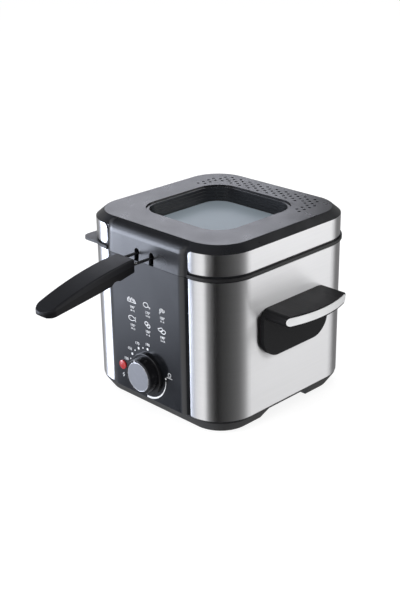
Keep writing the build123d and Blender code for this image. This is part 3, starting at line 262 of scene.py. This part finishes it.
def plated_steel(name, colour, roughness, metallic=1.0):
    """Drawn or pressed metal with a thin plating or coating."""
    made = Surface(name, colour, roughness, metallic=metallic)
    spots = made.noise(scale=700.0, detail=3.0)
    made.vary_colour(spots, 0.93, 1.05)
    made.vary_roughness(spots, roughness - 0.05, roughness + 0.06)
    made.bump((made.noise(scale=1800.0), 6 * MICRON))
    return made


def rubber(name, colour):
    """Moulded rubber or silicone, dull, with a faint bloom."""
    made = Surface(name, colour, 0.62, Specular_IOR_Level=0.35)
    bloom = made.noise(scale=120.0, detail=4.0)
    made.vary_colour(bloom, 0.85, 1.3)
    made.vary_roughness(bloom, 0.56, 0.68)
    made.bump((made.noise(scale=1500.0), 20 * MICRON))
    return made


def window_glass():
    """Frosted grey-blue pane."""
    colour = (0.33, 0.39, 0.44)
    made = Surface("window_glass", colour, 0.42, Transmission_Weight=0.25, Specular_IOR_Level=0.2)
    haze = made.noise(scale=40.0, detail=3.0)
    made.vary_colour(haze, 0.96, 1.04)
    made.vary_roughness(haze, 0.39, 0.46)
    made.bump((made.noise(scale=2500.0), 4 * MICRON))
    return made


def lamp_red():
    """Clear red lens, faintly lit from inside."""
    made = Surface("lamp_red", (0.50, 0.025, 0.028), 0.18, Transmission_Weight=0.3)
    made.set("Emission Color", (0.8, 0.05, 0.04, 1.0))
    made.set("Emission Strength", 0.06)
    facets = made.noise(scale=900.0, detail=1.0)
    made.vary_colour(facets, 0.85, 1.15)
    made.bump((facets, 20 * MICRON))
    return made


def filter_felt():
    """Pale fleece pad."""
    made = Surface("filter_felt", (0.72, 0.71, 0.66), 0.9)
    fibres = made.noise(scale=900.0, detail=5.0, stretch=(1.0, 0.25, 1.0))
    made.vary_colour(fibres, 0.8, 1.1)
    made.vary_roughness(fibres, 0.85, 0.95)
    made.bump((fibres, 200 * MICRON))
    return made


def make_materials():
    """Material of every slot of the record, by the slot's name."""
    surfaces = (
        brushed_steel(),
        trim_silver(),
        knob_metal(),
        handle_plastic(),
        window_glass(),
        lamp_red(),
        filter_felt(),
        plastic("lid_plastic", (0.010, 0.0105, 0.0125), roughness=0.29, waviness=40 * MICRON),
        plastic("panel_plastic", (0.006, 0.0065, 0.008), roughness=0.17, grain=6 * MICRON),
        plastic("base_plastic", (0.008, 0.008, 0.009), roughness=0.42),
        plastic("grip_top_plastic", COOL_BLACK, roughness=0.45, Specular_IOR_Level=0.3),
        plastic("grip_low_plastic", DEEP_BLACK, roughness=0.36, Specular_IOR_Level=0.2),
        plastic("knob_plastic", DEEP_BLACK, roughness=0.26, grain=10 * MICRON, Specular_IOR_Level=0.28),
        plastic("liner_plastic", (0.03, 0.03, 0.032), roughness=0.5),
        plastic("switch_plastic", (0.33, 0.31, 0.28), roughness=0.55),
        plastic("terminal_plastic", (0.70, 0.70, 0.66), roughness=0.5),
        plastic("lamp_housing", (0.70, 0.70, 0.67), roughness=0.5),
        plastic("lead_insulation", (0.42, 0.06, 0.04), roughness=0.55),
        plastic("panel_print", (0.80, 0.81, 0.83), roughness=0.5, grain=4 * MICRON),
        plated_steel("plated_steel", (0.56, 0.56, 0.56), roughness=0.25),
        plated_steel("element_steel", (0.30, 0.30, 0.30), roughness=0.45),
        plated_steel("copper_tube", (0.60, 0.33, 0.20), roughness=0.35),
        plated_steel("basket_wire", (0.70, 0.70, 0.71), roughness=0.18),
        plated_steel("pot_coating", (0.03, 0.03, 0.032), roughness=0.38, metallic=0.0),
        rubber("foot_rubber", (0.02, 0.02, 0.02)),
        rubber("silicone", (0.018, 0.018, 0.02)),
    )
    return {surface.name: surface.material for surface in surfaces}


materials = make_materials()
for slot, members in SLOTS.items():
    for name in members:
        nodes[name].data.materials.clear()
        nodes[name].data.materials.append(materials[slot])


# ---------------------------------------------------------------- mesh tools
NEARLY_UPRIGHT = 0.9           # a wire whose direction has a larger Z than this counts as upright


def link_mesh(name, builder, material):
    """Object of a finished mesh, with its material."""
    mesh = bpy.data.meshes.new(name)
    builder.to_mesh(mesh)
    builder.free()
    mesh.materials.append(material)
    made = bpy.data.objects.new(name, mesh)
    bpy.context.scene.collection.objects.link(made)
    return made


def add_piece(name, builder, body, slot):
    """Finished mesh as a piece that rides on a body, with the material of its slot."""
    bmesh.ops.recalc_face_normals(builder, faces=builder.faces)
    piece = link_mesh(name, builder, materials[slot])
    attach(piece, body)
    return piece


def smooth(piece):
    """Smooth shading on every face of a piece."""
    for polygon in piece.data.polygons:
        polygon.use_smooth = True


def neighbours(points, index, closed):
    """Points before and after one on a path; at an open end it is its own neighbour."""
    if closed:
        return points[index - 1], points[(index + 1) % len(points)]
    return points[max(index - 1, 0)], points[min(index + 1, len(points) - 1)]


def skin(builder, rings, closed=False):
    """Faces from each ring of corners to the next, with a face at both ends if the row isn't closed."""
    sides = len(rings[0])
    for index in range(len(rings) if closed else len(rings) - 1):
        first = rings[index]
        second = rings[(index + 1) % len(rings)]
        for side in range(sides):
            after = (side + 1) % sides
            builder.faces.new((first[side], first[after], second[after], second[side]))
    if not closed:
        builder.faces.new(rings[0])
        builder.faces.new(rings[-1])


def tube(builder, points, radius, sides, closed=False):
    """Round wire along the points."""
    rings = []
    side = None
    for index, point in enumerate(points):
        before, after = neighbours(points, index, closed)
        direction = (after - before).normalized()
        if side is None:
            upright = abs(direction.z) > NEARLY_UPRIGHT
            side = direction.cross(Vector((1, 0, 0)) if upright else Vector((0, 0, 1)))
        side = (side - direction * side.dot(direction)).normalized()
        up = direction.cross(side)
        ring = []
        for step in range(sides):
            angle = 2 * math.pi * step / sides
            ring.append(builder.verts.new(point + (side * math.cos(angle) + up * math.sin(angle)) * radius))
        rings.append(ring)
    skin(builder, rings, closed)


# ---------------------------------------------------------------- woven basket
BASKET_PITCH = 4.9 * MM        # spacing of the woven wires
BASKET_WIRE = 0.42 * MM        # radius of a woven wire
BASKET_ROUND = 29.0 * MM       # plan corners of the basket
BASKET_BEND = 7.0 * MM         # bend between its walls and its floor
BASKET_INSET = 0.1 * MM        # the wires stay this far inside the walls of the CAD cup
BEND_STEPS = 5                 # straight runs along that bend
HOOP_SWING = 1.6 * BASKET_WIRE  # how far a hoop waves in and out round the upright wires
WIRE_SIDES = 5


def basket_reach(offset, half):
    """How far a straight wire at this offset from the middle reaches before it meets the rounded outline."""
    straight = half - BASKET_ROUND
    beyond = abs(offset) - straight
    if beyond <= 0:
        return half
    return straight + math.sqrt(BASKET_ROUND ** 2 - beyond ** 2)


def hoop_point(along, half, push):
    """Point on the rounded outline at this distance along it, pushed outwards."""
    straight = 2 * (half - BASKET_ROUND)
    corner = BASKET_ROUND * math.pi / 2
    quarter, rest = divmod(along, straight + corner)
    if rest <= straight:
        point = Vector((rest - straight / 2, -half - push, 0))
    else:
        angle = (rest - straight) / BASKET_ROUND
        reach = BASKET_ROUND + push
        point = Vector((straight / 2 + reach * math.sin(angle), -straight / 2 - reach * math.cos(angle), 0))
    return Matrix.Rotation(quarter * math.pi / 2, 3, "Z") @ point


def strand(offset, half, low, high, phase):
    """Path of one wire down a wall, across the floor with the weave's waves, and up the other wall."""
    reach = basket_reach(offset, half)
    down = [(-reach, high)]
    for step in range(BEND_STEPS):
        angle = math.pi / 2 * step / BEND_STEPS
        down.append((
            -reach + BASKET_BEND * (1 - math.cos(angle)),
            low + BASKET_BEND * (1 - math.sin(angle)),
        ))
    crossings = int((reach - BASKET_BEND) / BASKET_PITCH)
    floor_run = []
    for step in range(-crossings, crossings + 1):
        wave = BASKET_WIRE if (step + phase) % 2 == 0 else -BASKET_WIRE
        floor_run.append((step * BASKET_PITCH, low + wave))
    up = [(-x, z) for x, z in reversed(down)]
    return down + floor_run + up


def add_strands(builder, half, low, high):
    """Wires that cross the floor both ways; the outermost meet the plan corners halfway round."""
    outermost = half - BASKET_ROUND * (1 - math.sqrt(0.5))
    strands = int(outermost / BASKET_PITCH)
    for index in range(-strands, strands + 1):
        offset = index * BASKET_PITCH
        sideways = [Vector((x, offset, z)) for x, z in strand(offset, half, low, high, index)]
        lengthways = [Vector((offset, y, z)) for y, z in strand(offset, half, low, high, index + 1)]
        tube(builder, sideways, BASKET_WIRE, WIRE_SIDES)
        tube(builder, lengthways, BASKET_WIRE, WIRE_SIDES)


def add_hoops(builder, half, low, high):
    """Wires round the walls, one above the other, that wave in and out by turns."""
    length = 8 * (half - BASKET_ROUND) + 2 * math.pi * BASKET_ROUND
    crossings = 2 * round(length / BASKET_PITCH / 2)
    steps = 2 * crossings
    hoops = int((high - low - BASKET_BEND) / BASKET_PITCH)
    for row in range(hoops):
        height = Vector((0, 0, low + BASKET_BEND + row * BASKET_PITCH))
        points = []
        for step in range(steps):
            push = HOOP_SWING * math.cos(math.pi * (step / 2 + row))
            points.append(hoop_point(length * step / steps, half, push) + height)
        tube(builder, points, BASKET_WIRE, WIRE_SIDES, closed=True)


def woven_basket():
    """Wire cloth of the basket, in the place of its smooth CAD cup."""
    low_corner, high_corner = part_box("basket_mesh")
    half = (high_corner.x - low_corner.x) / 2 - BASKET_WIRE - BASKET_INSET
    low = low_corner.z + 2 * BASKET_WIRE
    high = high_corner.z
    builder = bmesh.new()
    add_strands(builder, half, low, high)
    add_hoops(builder, half, low, high)
    basket = add_piece("basket_wires", builder, "basket", "basket_wire")
    smooth(basket)
    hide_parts("basket_mesh")


# ---------------------------------------------------------------- print tools
PANEL_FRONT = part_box("front_panel")[0].y
PRINT_LIFT = 0.05 * MM         # thickness of the print
STROKE = 0.66 * MM             # line widths of the print
FINE_STROKE = 0.5 * MM
BOLD_STROKE = 0.8 * MM
CHIP_STROKE = 0.9 * MM
FLASH_STROKE = 0.95 * MM
DOT_SIDES = 16
SIGN_SIZE = 1.2                # enlargement of the drawn signs
DIGIT_WEIGHT = 0.01            # how much digits are thickened, as a share of their size


def round_point(x, z, radius, angle, squash=1.0):
    """Point at an angle round (x, z), with 0 degrees to the right and 90 up; squash flattens the circle."""
    turn = math.radians(angle)
    return x + radius * math.cos(turn), z + radius * squash * math.sin(turn)


def arc(x, z, radius, start, end, steps=12, squash=1.0):
    """Points of an arc between two angles in degrees."""
    angles = [start + (end - start) * step / steps for step in range(steps + 1)]
    return [round_point(x, z, radius, angle, squash) for angle in angles]


def circle(x, z, radius, sides):
    """Points of a whole circle, each of them once."""
    return arc(x, z, radius, 0, 360, sides)[:-1]


def shifted(points, x, z, size=SIGN_SIZE):
    """Points in millimetres round a sign's middle, enlarged to its size and moved to its place."""
    return [(x + u * size * MM, z + v * size * MM) for u, v in points]


def flat_stroke(builder, points, width, closed=False, depth=PANEL_FRONT, lift=PRINT_LIFT):
    """Thin raised line through points (x, z) on a front face; a list gives each point its own width."""
    widths = width if isinstance(width, list) else [width] * len(points)
    out = Vector((0, -lift, 0))
    rings = []
    for index, (x, z) in enumerate(points):
        before, after = neighbours(points, index, closed)
        along = Vector((after[0] - before[0], 0, after[1] - before[1])).normalized()
        across = Vector((-along.z, 0, along.x)) * widths[index] / 2
        left = Vector((x, depth, z)) + across
        right = Vector((x, depth, z)) - across
        rings.append([builder.verts.new(corner) for corner in (left + out, right + out, right, left)])
    skin(builder, rings, closed)


def dot(builder, x, z, radius):
    """Printed round spot."""
    rings = []
    for y in (PANEL_FRONT - PRINT_LIFT, PANEL_FRONT):
        rings.append([builder.verts.new((u, y, v)) for u, v in circle(x, z, radius, DOT_SIDES)])
    skin(builder, rings)


def add_number(builder, text, x, z, size):
    """Digits of Blender's own font, lying on the panel and added to the mesh."""
    curve = bpy.data.curves.new("number", "FONT")
    curve.body = text
    curve.size = size
    curve.align_x = "CENTER"
    curve.align_y = "CENTER"
    curve.extrude = PRINT_LIFT / 2
    curve.offset = size * DIGIT_WEIGHT
    curve.resolution_u = 4
    holder = bpy.data.objects.new("number", curve)
    bpy.context.scene.collection.objects.link(holder)
    holder.location = (x, PANEL_FRONT - PRINT_LIFT / 2, z)
    holder.rotation_euler = (math.pi / 2, 0, 0)
    bpy.context.view_layer.update()
    evaluated = holder.evaluated_get(bpy.context.evaluated_depsgraph_get())
    mesh = bpy.data.meshes.new_from_object(evaluated)
    mesh.transform(holder.matrix_world)
    builder.from_mesh(mesh)
    bpy.data.meshes.remove(mesh)
    bpy.data.objects.remove(holder)
    bpy.data.curves.remove(curve)


# ---------------------------------------------------------------- food signs, drawn in millimetres
def draw_fries(builder, x, z):
    """Heap of chips, each with its middle and its lean, over a line."""
    chips = (
        (-4.6, 0.2, 1.6), (-3.0, 0.7, 0.6), (-1.2, 0.1, 1.2),
        (0.6, 0.9, -0.4), (2.4, 0.2, -1.3), (4.2, -0.3, -1.8),
    )
    half_height = 1.5
    for u, v, lean in chips:
        chip = [(u - lean / 2, v - half_height), (u + lean / 2, v + half_height)]
        flat_stroke(builder, shifted(chip, x, z), CHIP_STROKE)
    flat_stroke(builder, shifted([(-5.4, -1.9), (5.4, -1.9)], x, z), STROKE)


def draw_drumstick(builder, x, z):
    """Chicken leg: the meat, the bone and its two knuckles."""
    meat = arc(-1.6, 0.3, 2.9, 0, 345, 18, 0.72)
    flat_stroke(builder, shifted(meat, x, z), STROKE, closed=True)
    flat_stroke(builder, shifted([(1.2, -0.4), (3.6, -1.5)], x, z), BOLD_STROKE)
    for u, v in ((4.1, -1.2), (3.7, -2.1)):
        dot(builder, x + u * MM, z + v * MM, 0.6 * MM)


def draw_shrimp(builder, x, z):
    """Curled prawn with its rings, tail and feeler."""
    back = (0, -0.3, 2.5)
    belly = (0, -0.7, 1.0)
    squash = 0.9
    body = arc(*back, 215, -15, 14, squash) + arc(*belly, -15, 215, 10, squash)
    flat_stroke(builder, shifted(body, x, z), FINE_STROKE, closed=True)
    for angle in (50, 100, 150):
        ring = [round_point(*edge, angle, squash) for edge in (back, belly)]
        flat_stroke(builder, shifted(ring, x, z), FINE_STROKE)
    tail = [(-1.6, -1.7), (-3.2, -2.3), (-2.2, -3.3)]
    flat_stroke(builder, shifted(tail, x, z), FINE_STROKE, closed=True)
    feeler = [(2.3, -0.9), (3.4, 0.2), (3.2, 1.6)]
    flat_stroke(builder, shifted(feeler, x, z), FINE_STROKE)


def draw_fish(builder, x, z):
    """Whole fish, with its tail and eye."""
    body = arc(-0.9, 0, 3.6, 20, 340, 20, 0.6)
    flat_stroke(builder, shifted(body, x, z), STROKE)
    tail = [(2.4, 0.8), (4.6, 2.0), (4.0, 0.0), (4.6, -2.0), (2.4, -0.8)]
    flat_stroke(builder, shifted(tail, x, z), STROKE)
    dot(builder, x - 3.0 * MM, z + 0.4 * MM, 0.35 * MM)


def draw_onion_rings(builder, x, z):
    """Two battered rings."""
    for u, v, radius in ((-1.0, 0.7, 2.0), (1.3, -0.9, 1.9)):
        ring = arc(u, v, radius, 0, 345, 16, 0.85)
        flat_stroke(builder, shifted(ring, x, z), BOLD_STROKE, closed=True)


def draw_wedges(builder, x, z):
    """Two potato wedges."""
    for u, v in ((-2.0, 0.9), (1.2, -0.3)):
        outline = arc(u, v, 2.9, 190, 370, 10, 0.8) + [(u + 1.4, v + 1.3)]
        flat_stroke(builder, shifted(outline, x, z), STROKE, closed=True)


# Each sign with its middle in millimetres, X and Z, its temperature and its minutes.
SIGNS = (
    (draw_fries, -20.3, 118.7, "190°", "10-12"),
    (draw_drumstick, 2.4, 119.0, "170°", "14-16"),
    (draw_shrimp, 23.4, 119.5, "130°", "4 - 6"),
    (draw_fish, -20.4, 98.8, "170°", "10-12"),
    (draw_onion_rings, 2.0, 98.6, "150°", "4 - 6"),
    (draw_wedges, 23.2, 98.7, "190°", "12-15"),
)
HEAT_DROP = 7.7 * MM           # the two rows of numbers lie this far below a sign's middle
MINUTES_DROP = 11.2 * MM
NUMBERS_SHIFT = 0.6 * MM       # and this far to its right
HEAT_SIZE = 3.9 * MM
MINUTES_SIZE = 2.8 * MM


def print_signs():
    """Six foods, each over a temperature and a time in minutes."""
    builder = bmesh.new()
    for draw, sign_x, sign_z, heat, minutes in SIGNS:
        x = sign_x * MM
        z = sign_z * MM
        draw(builder, x, z)
        add_number(builder, heat, x + NUMBERS_SHIFT, z - HEAT_DROP, HEAT_SIZE)
        add_number(builder, minutes, x + NUMBERS_SHIFT, z - MINUTES_DROP, MINUTES_SIZE)
    add_piece("panel_pictograms", builder, "root", "panel_print")


# ---------------------------------------------------------------- dial and knob
KNOB_LOW, KNOB_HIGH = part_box("knob_body")
DIAL = (KNOB_LOW + KNOB_HIGH) / 2
DIAL_RADIUS = 26.6 * MM        # ring of dots round the knob
DOT_ANGLES = range(88, 180, 15)  # from the hottest dot to the coolest
LARGE_DOT = 1.4 * MM
SMALL_DOT = 0.8 * MM
# Each number with its angle and its distance from the middle of the knob in millimetres.
DIAL_NUMBERS = (("190", 88, 31.6), ("170", 117, 31.8), ("150", 144, 32.4), ("130", 170, 32.6))
DIAL_NUMBER_SIZE = 4.2 * MM
SWEEP = (-94, -1)              # angles between which the curved wedge narrows
SWEEP_WIDTHS = (2.4 * MM, 0.5 * MM)
SWEEP_STEPS = 40
OFF_ANGLE = 5
OFF_DOT = 1.0 * MM
OFF_RING = 2.0 * MM            # radius of the ring of the off mark
OFF_RING_SHIFT = (5.6 * MM, 6.0 * MM)
LAMP_MARK_DROP = 6.6 * MM      # the flash lies this far below the lamp

CAP_RIM = 0.4 * MM             # radius of the turned edge's bead
CAP_RIM_RADIUS = 15.1 * MM
CAP_RIM_STEPS = 64
CAP_RIM_SIDES = 8
POINTER_ANGLE = 108
POINTER_REACH = (15.9 * MM, 17.4 * MM)
POINTER_WIDTH = 1.1 * MM
POINTER_LIFT = 0.12 * MM


def dial_point(angle, radius=DIAL_RADIUS):
    """Point round the knob, with 0 degrees to the right and 90 up."""
    return round_point(DIAL.x, DIAL.z, radius, angle)


def draw_scale(builder):
    """Dots, numbers and the wedge that widens away from the off mark."""
    for index, angle in enumerate(DOT_ANGLES):
        dot(builder, *dial_point(angle), LARGE_DOT if index % 2 == 0 else SMALL_DOT)
    for number, angle, radius in DIAL_NUMBERS:
        add_number(builder, number, *dial_point(angle, radius * MM), DIAL_NUMBER_SIZE)
    wide, narrow = SWEEP_WIDTHS
    widths = [wide + (narrow - wide) * step / SWEEP_STEPS for step in range(SWEEP_STEPS + 1)]
    flat_stroke(builder, arc(DIAL.x, DIAL.z, DIAL_RADIUS, *SWEEP, SWEEP_STEPS), widths)


def draw_off_mark(builder):
    """Dot at the off position, with an underlined ring beside it."""
    x, z = dial_point(OFF_ANGLE)
    dot(builder, x, z, OFF_DOT)
    ring_x = x + OFF_RING_SHIFT[0]
    ring_z = z + OFF_RING_SHIFT[1]
    flat_stroke(builder, arc(ring_x, ring_z, OFF_RING, 0, 345, 16), FINE_STROKE, closed=True)
    flat_stroke(builder, shifted([(-4.0, -3.4), (4.0, -3.4)], ring_x, ring_z, 1.0), FINE_STROKE)


def draw_lamp_mark(builder):
    """Flash below the pilot lamp."""
    low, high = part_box("lamp_lens")
    flash = [(0.6, 2.0), (-1.1, -0.2), (1.1, 0.2), (-0.5, -2.0)]
    flat_stroke(builder, shifted(flash, (low.x + high.x) / 2, low.z - LAMP_MARK_DROP), FLASH_STROKE)


def print_dial():
    """Temperature scale, off mark and lamp mark."""
    builder = bmesh.new()
    draw_scale(builder)
    draw_off_mark(builder)
    draw_lamp_mark(builder)
    add_piece("panel_scale", builder, "root", "panel_print")


def cap_rim():
    """Bright turned edge of the metal disc in the knob."""
    builder = bmesh.new()
    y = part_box("knob_cap")[0].y + CAP_RIM
    ring = [Vector((x, y, z)) for x, z in circle(DIAL.x, DIAL.z, CAP_RIM_RADIUS, CAP_RIM_STEPS)]
    tube(builder, ring, CAP_RIM, CAP_RIM_SIDES, closed=True)
    smooth(add_piece("knob_cap_rim", builder, "knob", "plated_steel"))


def knob_pointer():
    """Raised white mark on the rim of the knob's face."""
    builder = bmesh.new()
    ends = [dial_point(POINTER_ANGLE, radius) for radius in POINTER_REACH]
    flat_stroke(builder, ends, POINTER_WIDTH, depth=KNOB_LOW.y, lift=POINTER_LIFT)
    add_piece("knob_pointer", builder, "knob", "panel_print")


woven_basket()
print_signs()
print_dial()
cap_rim()
knob_pointer()


# ---------------------------------------------------------------- studio
AIM = Vector((0, 0, 0.1))      # the point that lamps and cards face
AMBIENT = 0.55                 # strength of the even light on diffuse surfaces
FLOOR_SIZE = 12.0
FLOOR_GREY = 0.8               # the floor's colour in the light that it sends back to the object
SHADOW_GREY = 0.30             # the part of the seen floor that a shadow takes away
FLOOR_GLOW = 0.83              # and the part that stays

WHITE = (1.0, 1.0, 1.0)
COOL = (0.93, 1.0, 1.17)       # the window light from the left is slightly blue
PALE_BLUE = (0.98, 1.0, 1.12)
COOL_FROM = -75                # azimuths between which the tent is cool
COOL_TO = -32

# Light tent round the object, seen only in reflections. Each row is an azimuth in degrees, 0 in front and
# 90 to the right, then how bright the tent is there at each elevation in RINGS.
TENT_RADIUS = 5.0
TENT_TOP = 36.0                # elevation of its upper edge, in degrees
RINGS = (-26, -20, -12)


def even(azimuth, level):
    """Row of the tent that is equally bright at every ring."""
    return (azimuth, *[level] * len(RINGS))


TENT = (
    # back and left
    even(-180, 0.30), even(-141, 0.22), even(-111, 0.42), even(-99, 0.34),
    # window at the front left
    (-81, 0.50, 0.55, 0.60), (-70, 0.60, 0.70, 1.00), (-60, 0.75, 1.30, 3.40), (-53, 0.35, 2.75, 5.60),
    (-46, 0.10, 2.75, 1.10), (-41, 0.10, 2.00, 0.30), (-36, 0.80, 1.50, 0.60),
    # white wall in front
    even(-26, 1.40), even(-6, 1.40), even(3, 1.25),
    # dark panel at the front right
    even(8, 0.05), even(15, 0.02), even(30, 0.00), even(39, 0.03), even(50, 0.07), even(58, 0.08),
    # bright wall behind the right side, and back
    even(97, 0.18), even(112, 0.38), (124, 0.78, 0.85, 0.85), (137, 1.10, 1.30, 1.30),
    (150, 0.70, 0.85, 0.85), even(164, 0.20), even(180, 0.30),
)
TENT_BRIGHTEST = max(max(levels) for azimuth, *levels in TENT) * max(COOL)


def stage_material(name):
    """Empty node material for a part of the studio."""
    material = bpy.data.materials.new(name)
    material.use_nodes = True
    material.node_tree.nodes.clear()
    return material, material.node_tree


def finish_stage(tree, shader):
    """Joins the last shader of a stage material to its output."""
    output = tree.nodes.new("ShaderNodeOutputMaterial")
    tree.links.new(shader.outputs[0], output.inputs["Surface"])


def stage_piece(name, builder, material):
    """Finished mesh as a part of the studio."""
    piece = link_mesh(name, builder, material)
    return piece


def only_reflected(piece, material):
    """Leaves a part of the studio to reflections alone."""
    piece.visible_camera = False
    piece.visible_diffuse = False
    piece.visible_shadow = False
    piece.visible_transmission = False
    piece.visible_volume_scatter = False
    material.cycles.emission_sampling = "NONE"


def matt(tree, grey):
    """Diffuse shader of an even grey."""
    made = tree.nodes.new("ShaderNodeBsdfDiffuse")
    made.inputs["Color"].default_value = (grey, grey, grey, 1.0)
    return made


def glow(tree, strength):
    """Light of an even strength, white unless a colour is joined to it."""
    made = tree.nodes.new("ShaderNodeEmission")
    made.inputs["Strength"].default_value = strength
    return made


def background_rays(tree):
    """1 for rays from the camera, in reflections and through glass, which see the plain white background."""
    path = tree.nodes.new("ShaderNodeLightPath")
    total = path.outputs["Is Camera Ray"]
    for kind in ("Is Glossy Ray", "Is Transmission Ray"):
        total = maths(tree, "MAXIMUM", total, path.outputs[kind])
    return total


def square(size):
    """Flat square mesh round the origin."""
    builder = bmesh.new()
    bmesh.ops.create_grid(builder, x_segments=1, y_segments=1, size=size / 2)
    return builder


def floor():
    """White floor that keeps a soft shadow of the object."""
    material, tree = stage_material("floor")
    seen = tree.nodes.new("ShaderNodeAddShader")
    tree.links.new(matt(tree, SHADOW_GREY).outputs[0], seen.inputs[0])
    tree.links.new(glow(tree, FLOOR_GLOW).outputs[0], seen.inputs[1])
    mix = tree.nodes.new("ShaderNodeMixShader")
    tree.links.new(background_rays(tree), mix.inputs[0])
    tree.links.new(matt(tree, FLOOR_GREY).outputs[0], mix.inputs[1])
    tree.links.new(seen.outputs[0], mix.inputs[2])
    finish_stage(tree, mix)
    plane = stage_piece("floor", square(FLOOR_SIZE), material)
    plane.visible_glossy = False


def azimuth_ramp(tree, share, ring):
    """Colour round the tent at one of its rings; the share runs from 0 to 1 once round."""
    ramp = tree.nodes.new("ShaderNodeValToRGB")
    elements = ramp.color_ramp.elements
    while len(elements) < len(TENT):
        elements.new(1.0)
    for element, (azimuth, *levels) in zip(elements, TENT):
        tint = COOL if COOL_FROM < azimuth < COOL_TO else WHITE
        level = levels[ring] / TENT_BRIGHTEST
        element.position = (azimuth + 180) / 360
        element.color = (*[level * channel for channel in tint], 1.0)
    tree.links.new(share, ramp.inputs["Fac"])
    return ramp.outputs["Color"]


def tent_colour(tree):
    """Colour of the tent by azimuth and elevation, as a share of its brightest place."""
    coordinates = tree.nodes.new("ShaderNodeTexCoord")
    split = tree.nodes.new("ShaderNodeSeparateXYZ")
    tree.links.new(coordinates.outputs["Object"], split.inputs[0])
    forward = maths(tree, "MULTIPLY", split.outputs["Y"], -1.0)
    round_share = map_range(tree, maths(tree, "ARCTAN2", split.outputs["X"], forward), -math.pi, math.pi)
    elevation = maths(tree, "ARCSINE", maths(tree, "DIVIDE", split.outputs["Z"], TENT_RADIUS))
    colour = azimuth_ramp(tree, round_share, 0)
    for ring in range(1, len(RINGS)):
        upwards = map_range(tree, elevation, math.radians(RINGS[ring - 1]), math.radians(RINGS[ring]))
        colour = mix_colours(tree, upwards, colour, azimuth_ramp(tree, round_share, ring))
    return colour


def tent():
    """Curved wall of paler and darker panels, open above, that only reflections see."""
    builder = bmesh.new()
    bmesh.ops.create_uvsphere(builder, u_segments=96, v_segments=48, radius=TENT_RADIUS)
    top = TENT_RADIUS * math.sin(math.radians(TENT_TOP))
    above = [face for face in builder.faces if face.calc_center_median().z > top]
    bmesh.ops.delete(builder, geom=above, context="FACES")
    material, tree = stage_material("tent")
    light = glow(tree, TENT_BRIGHTEST)
    tree.links.new(tent_colour(tree), light.inputs["Color"])
    finish_stage(tree, light)
    only_reflected(stage_piece("tent", builder, material), material)


def direction(azimuth, elevation):
    """Unit vector from the object towards an azimuth and an elevation in degrees; azimuth 0 is the front."""
    turn = math.radians(azimuth)
    rise = math.radians(elevation)
    return Vector((math.sin(turn) * math.cos(rise), -math.cos(turn) * math.cos(rise), math.sin(rise)))


def face_object(piece, azimuth, elevation, distance):
    """Puts a flat thing at a distance from the object, facing it."""
    towards = direction(azimuth, elevation)
    piece.location = AIM + towards * distance
    piece.rotation_mode = "QUATERNION"
    piece.rotation_quaternion = towards.to_track_quat("Z", "Y")


def card(name, azimuth, elevation, distance, size, level):
    """Square card of an even brightness that only reflections see."""
    material, tree = stage_material(name)
    finish_stage(tree, glow(tree, level))
    piece = stage_piece(name, square(size), material)
    face_object(piece, azimuth, elevation, distance)
    only_reflected(piece, material)


def softbox(name, azimuth, elevation, distance, size, level, glossy=True, diffuse=True, colour=WHITE):
    """Rectangular soft lamp that faces the object; the level is the brightness of its face."""
    width, height = size
    lamp = bpy.data.lights.new(name, "AREA")
    lamp.shape = "RECTANGLE"
    lamp.size = width
    lamp.size_y = height
    lamp.energy = level * math.pi * width * height
    lamp.color = colour
    holder = bpy.data.objects.new(name, lamp)
    bpy.context.scene.collection.objects.link(holder)
    face_object(holder, azimuth, elevation, distance)
    holder.visible_camera = False
    holder.visible_glossy = glossy
    holder.visible_diffuse = diffuse


def world():
    """White background, with an even ambient light on diffuse surfaces."""
    made = bpy.data.worlds.new("studio")
    bpy.context.scene.world = made
    made.use_nodes = True
    tree = made.node_tree
    background = tree.nodes["Background"]
    background.inputs["Color"].default_value = (*WHITE, 1.0)
    strength = map_range(tree, background_rays(tree), 0.0, 1.0, AMBIENT, 1.0)
    tree.links.new(strength, background.inputs["Strength"])


floor()
tent()
world()
# The card and each lamp stand at an azimuth and an elevation in degrees.
card("roof", 0, 90, distance=2.2, size=7.0, level=0.04)
softbox("key_left", -50, 0, distance=1.5, size=(1.0, 0.6), level=8.5, colour=COOL)
softbox("top_fill", 20, 80, distance=1.5, size=(1.0, 1.0), level=1.6, glossy=False)
softbox("back_left", 230, 28, distance=1.6, size=(0.7, 0.5), level=2.6, colour=PALE_BLUE)
softbox("right_side", 137, 25, distance=1.6, size=(0.8, 0.6), level=5.5, diffuse=False)
softbox("right_fill", 45, 12, distance=1.5, size=(0.8, 0.6), level=6.5, glossy=False)
softbox("front_top", 5, 40, distance=1.5, size=(0.7, 0.4), level=5.0)


# ---------------------------------------------------------------- camera
CAMERA_AZIMUTH = 45.524        # degrees, to the right of the front
CAMERA_ELEVATION = 22.893
CAMERA_ROLL = -0.942
CAMERA_DISTANCE = 1.16393
CAMERA_TARGET = Vector((-0.01048, -0.01797, 0.09510))
CAMERA_LENS = 66.798           # millimetres, as is the sensor's width
SENSOR_WIDTH = 36.0


def camera():
    """Camera at the photographer's place."""
    lens = bpy.data.cameras.new("camera")
    lens.sensor_width = SENSOR_WIDTH
    lens.lens = CAMERA_LENS
    lens.clip_start = 0.01
    lens.clip_end = 50.0
    made = bpy.data.objects.new("camera", lens)
    bpy.context.scene.collection.objects.link(made)
    back = direction(CAMERA_AZIMUTH, CAMERA_ELEVATION)
    made.location = CAMERA_TARGET + back * CAMERA_DISTANCE
    upright = (-back).to_track_quat("-Z", "Y")
    made.rotation_mode = "QUATERNION"
    made.rotation_quaternion = Quaternion(back, math.radians(CAMERA_ROLL)) @ upright
    bpy.context.scene.camera = made


camera()
bpy.context.scene.view_settings.view_transform = "Standard"
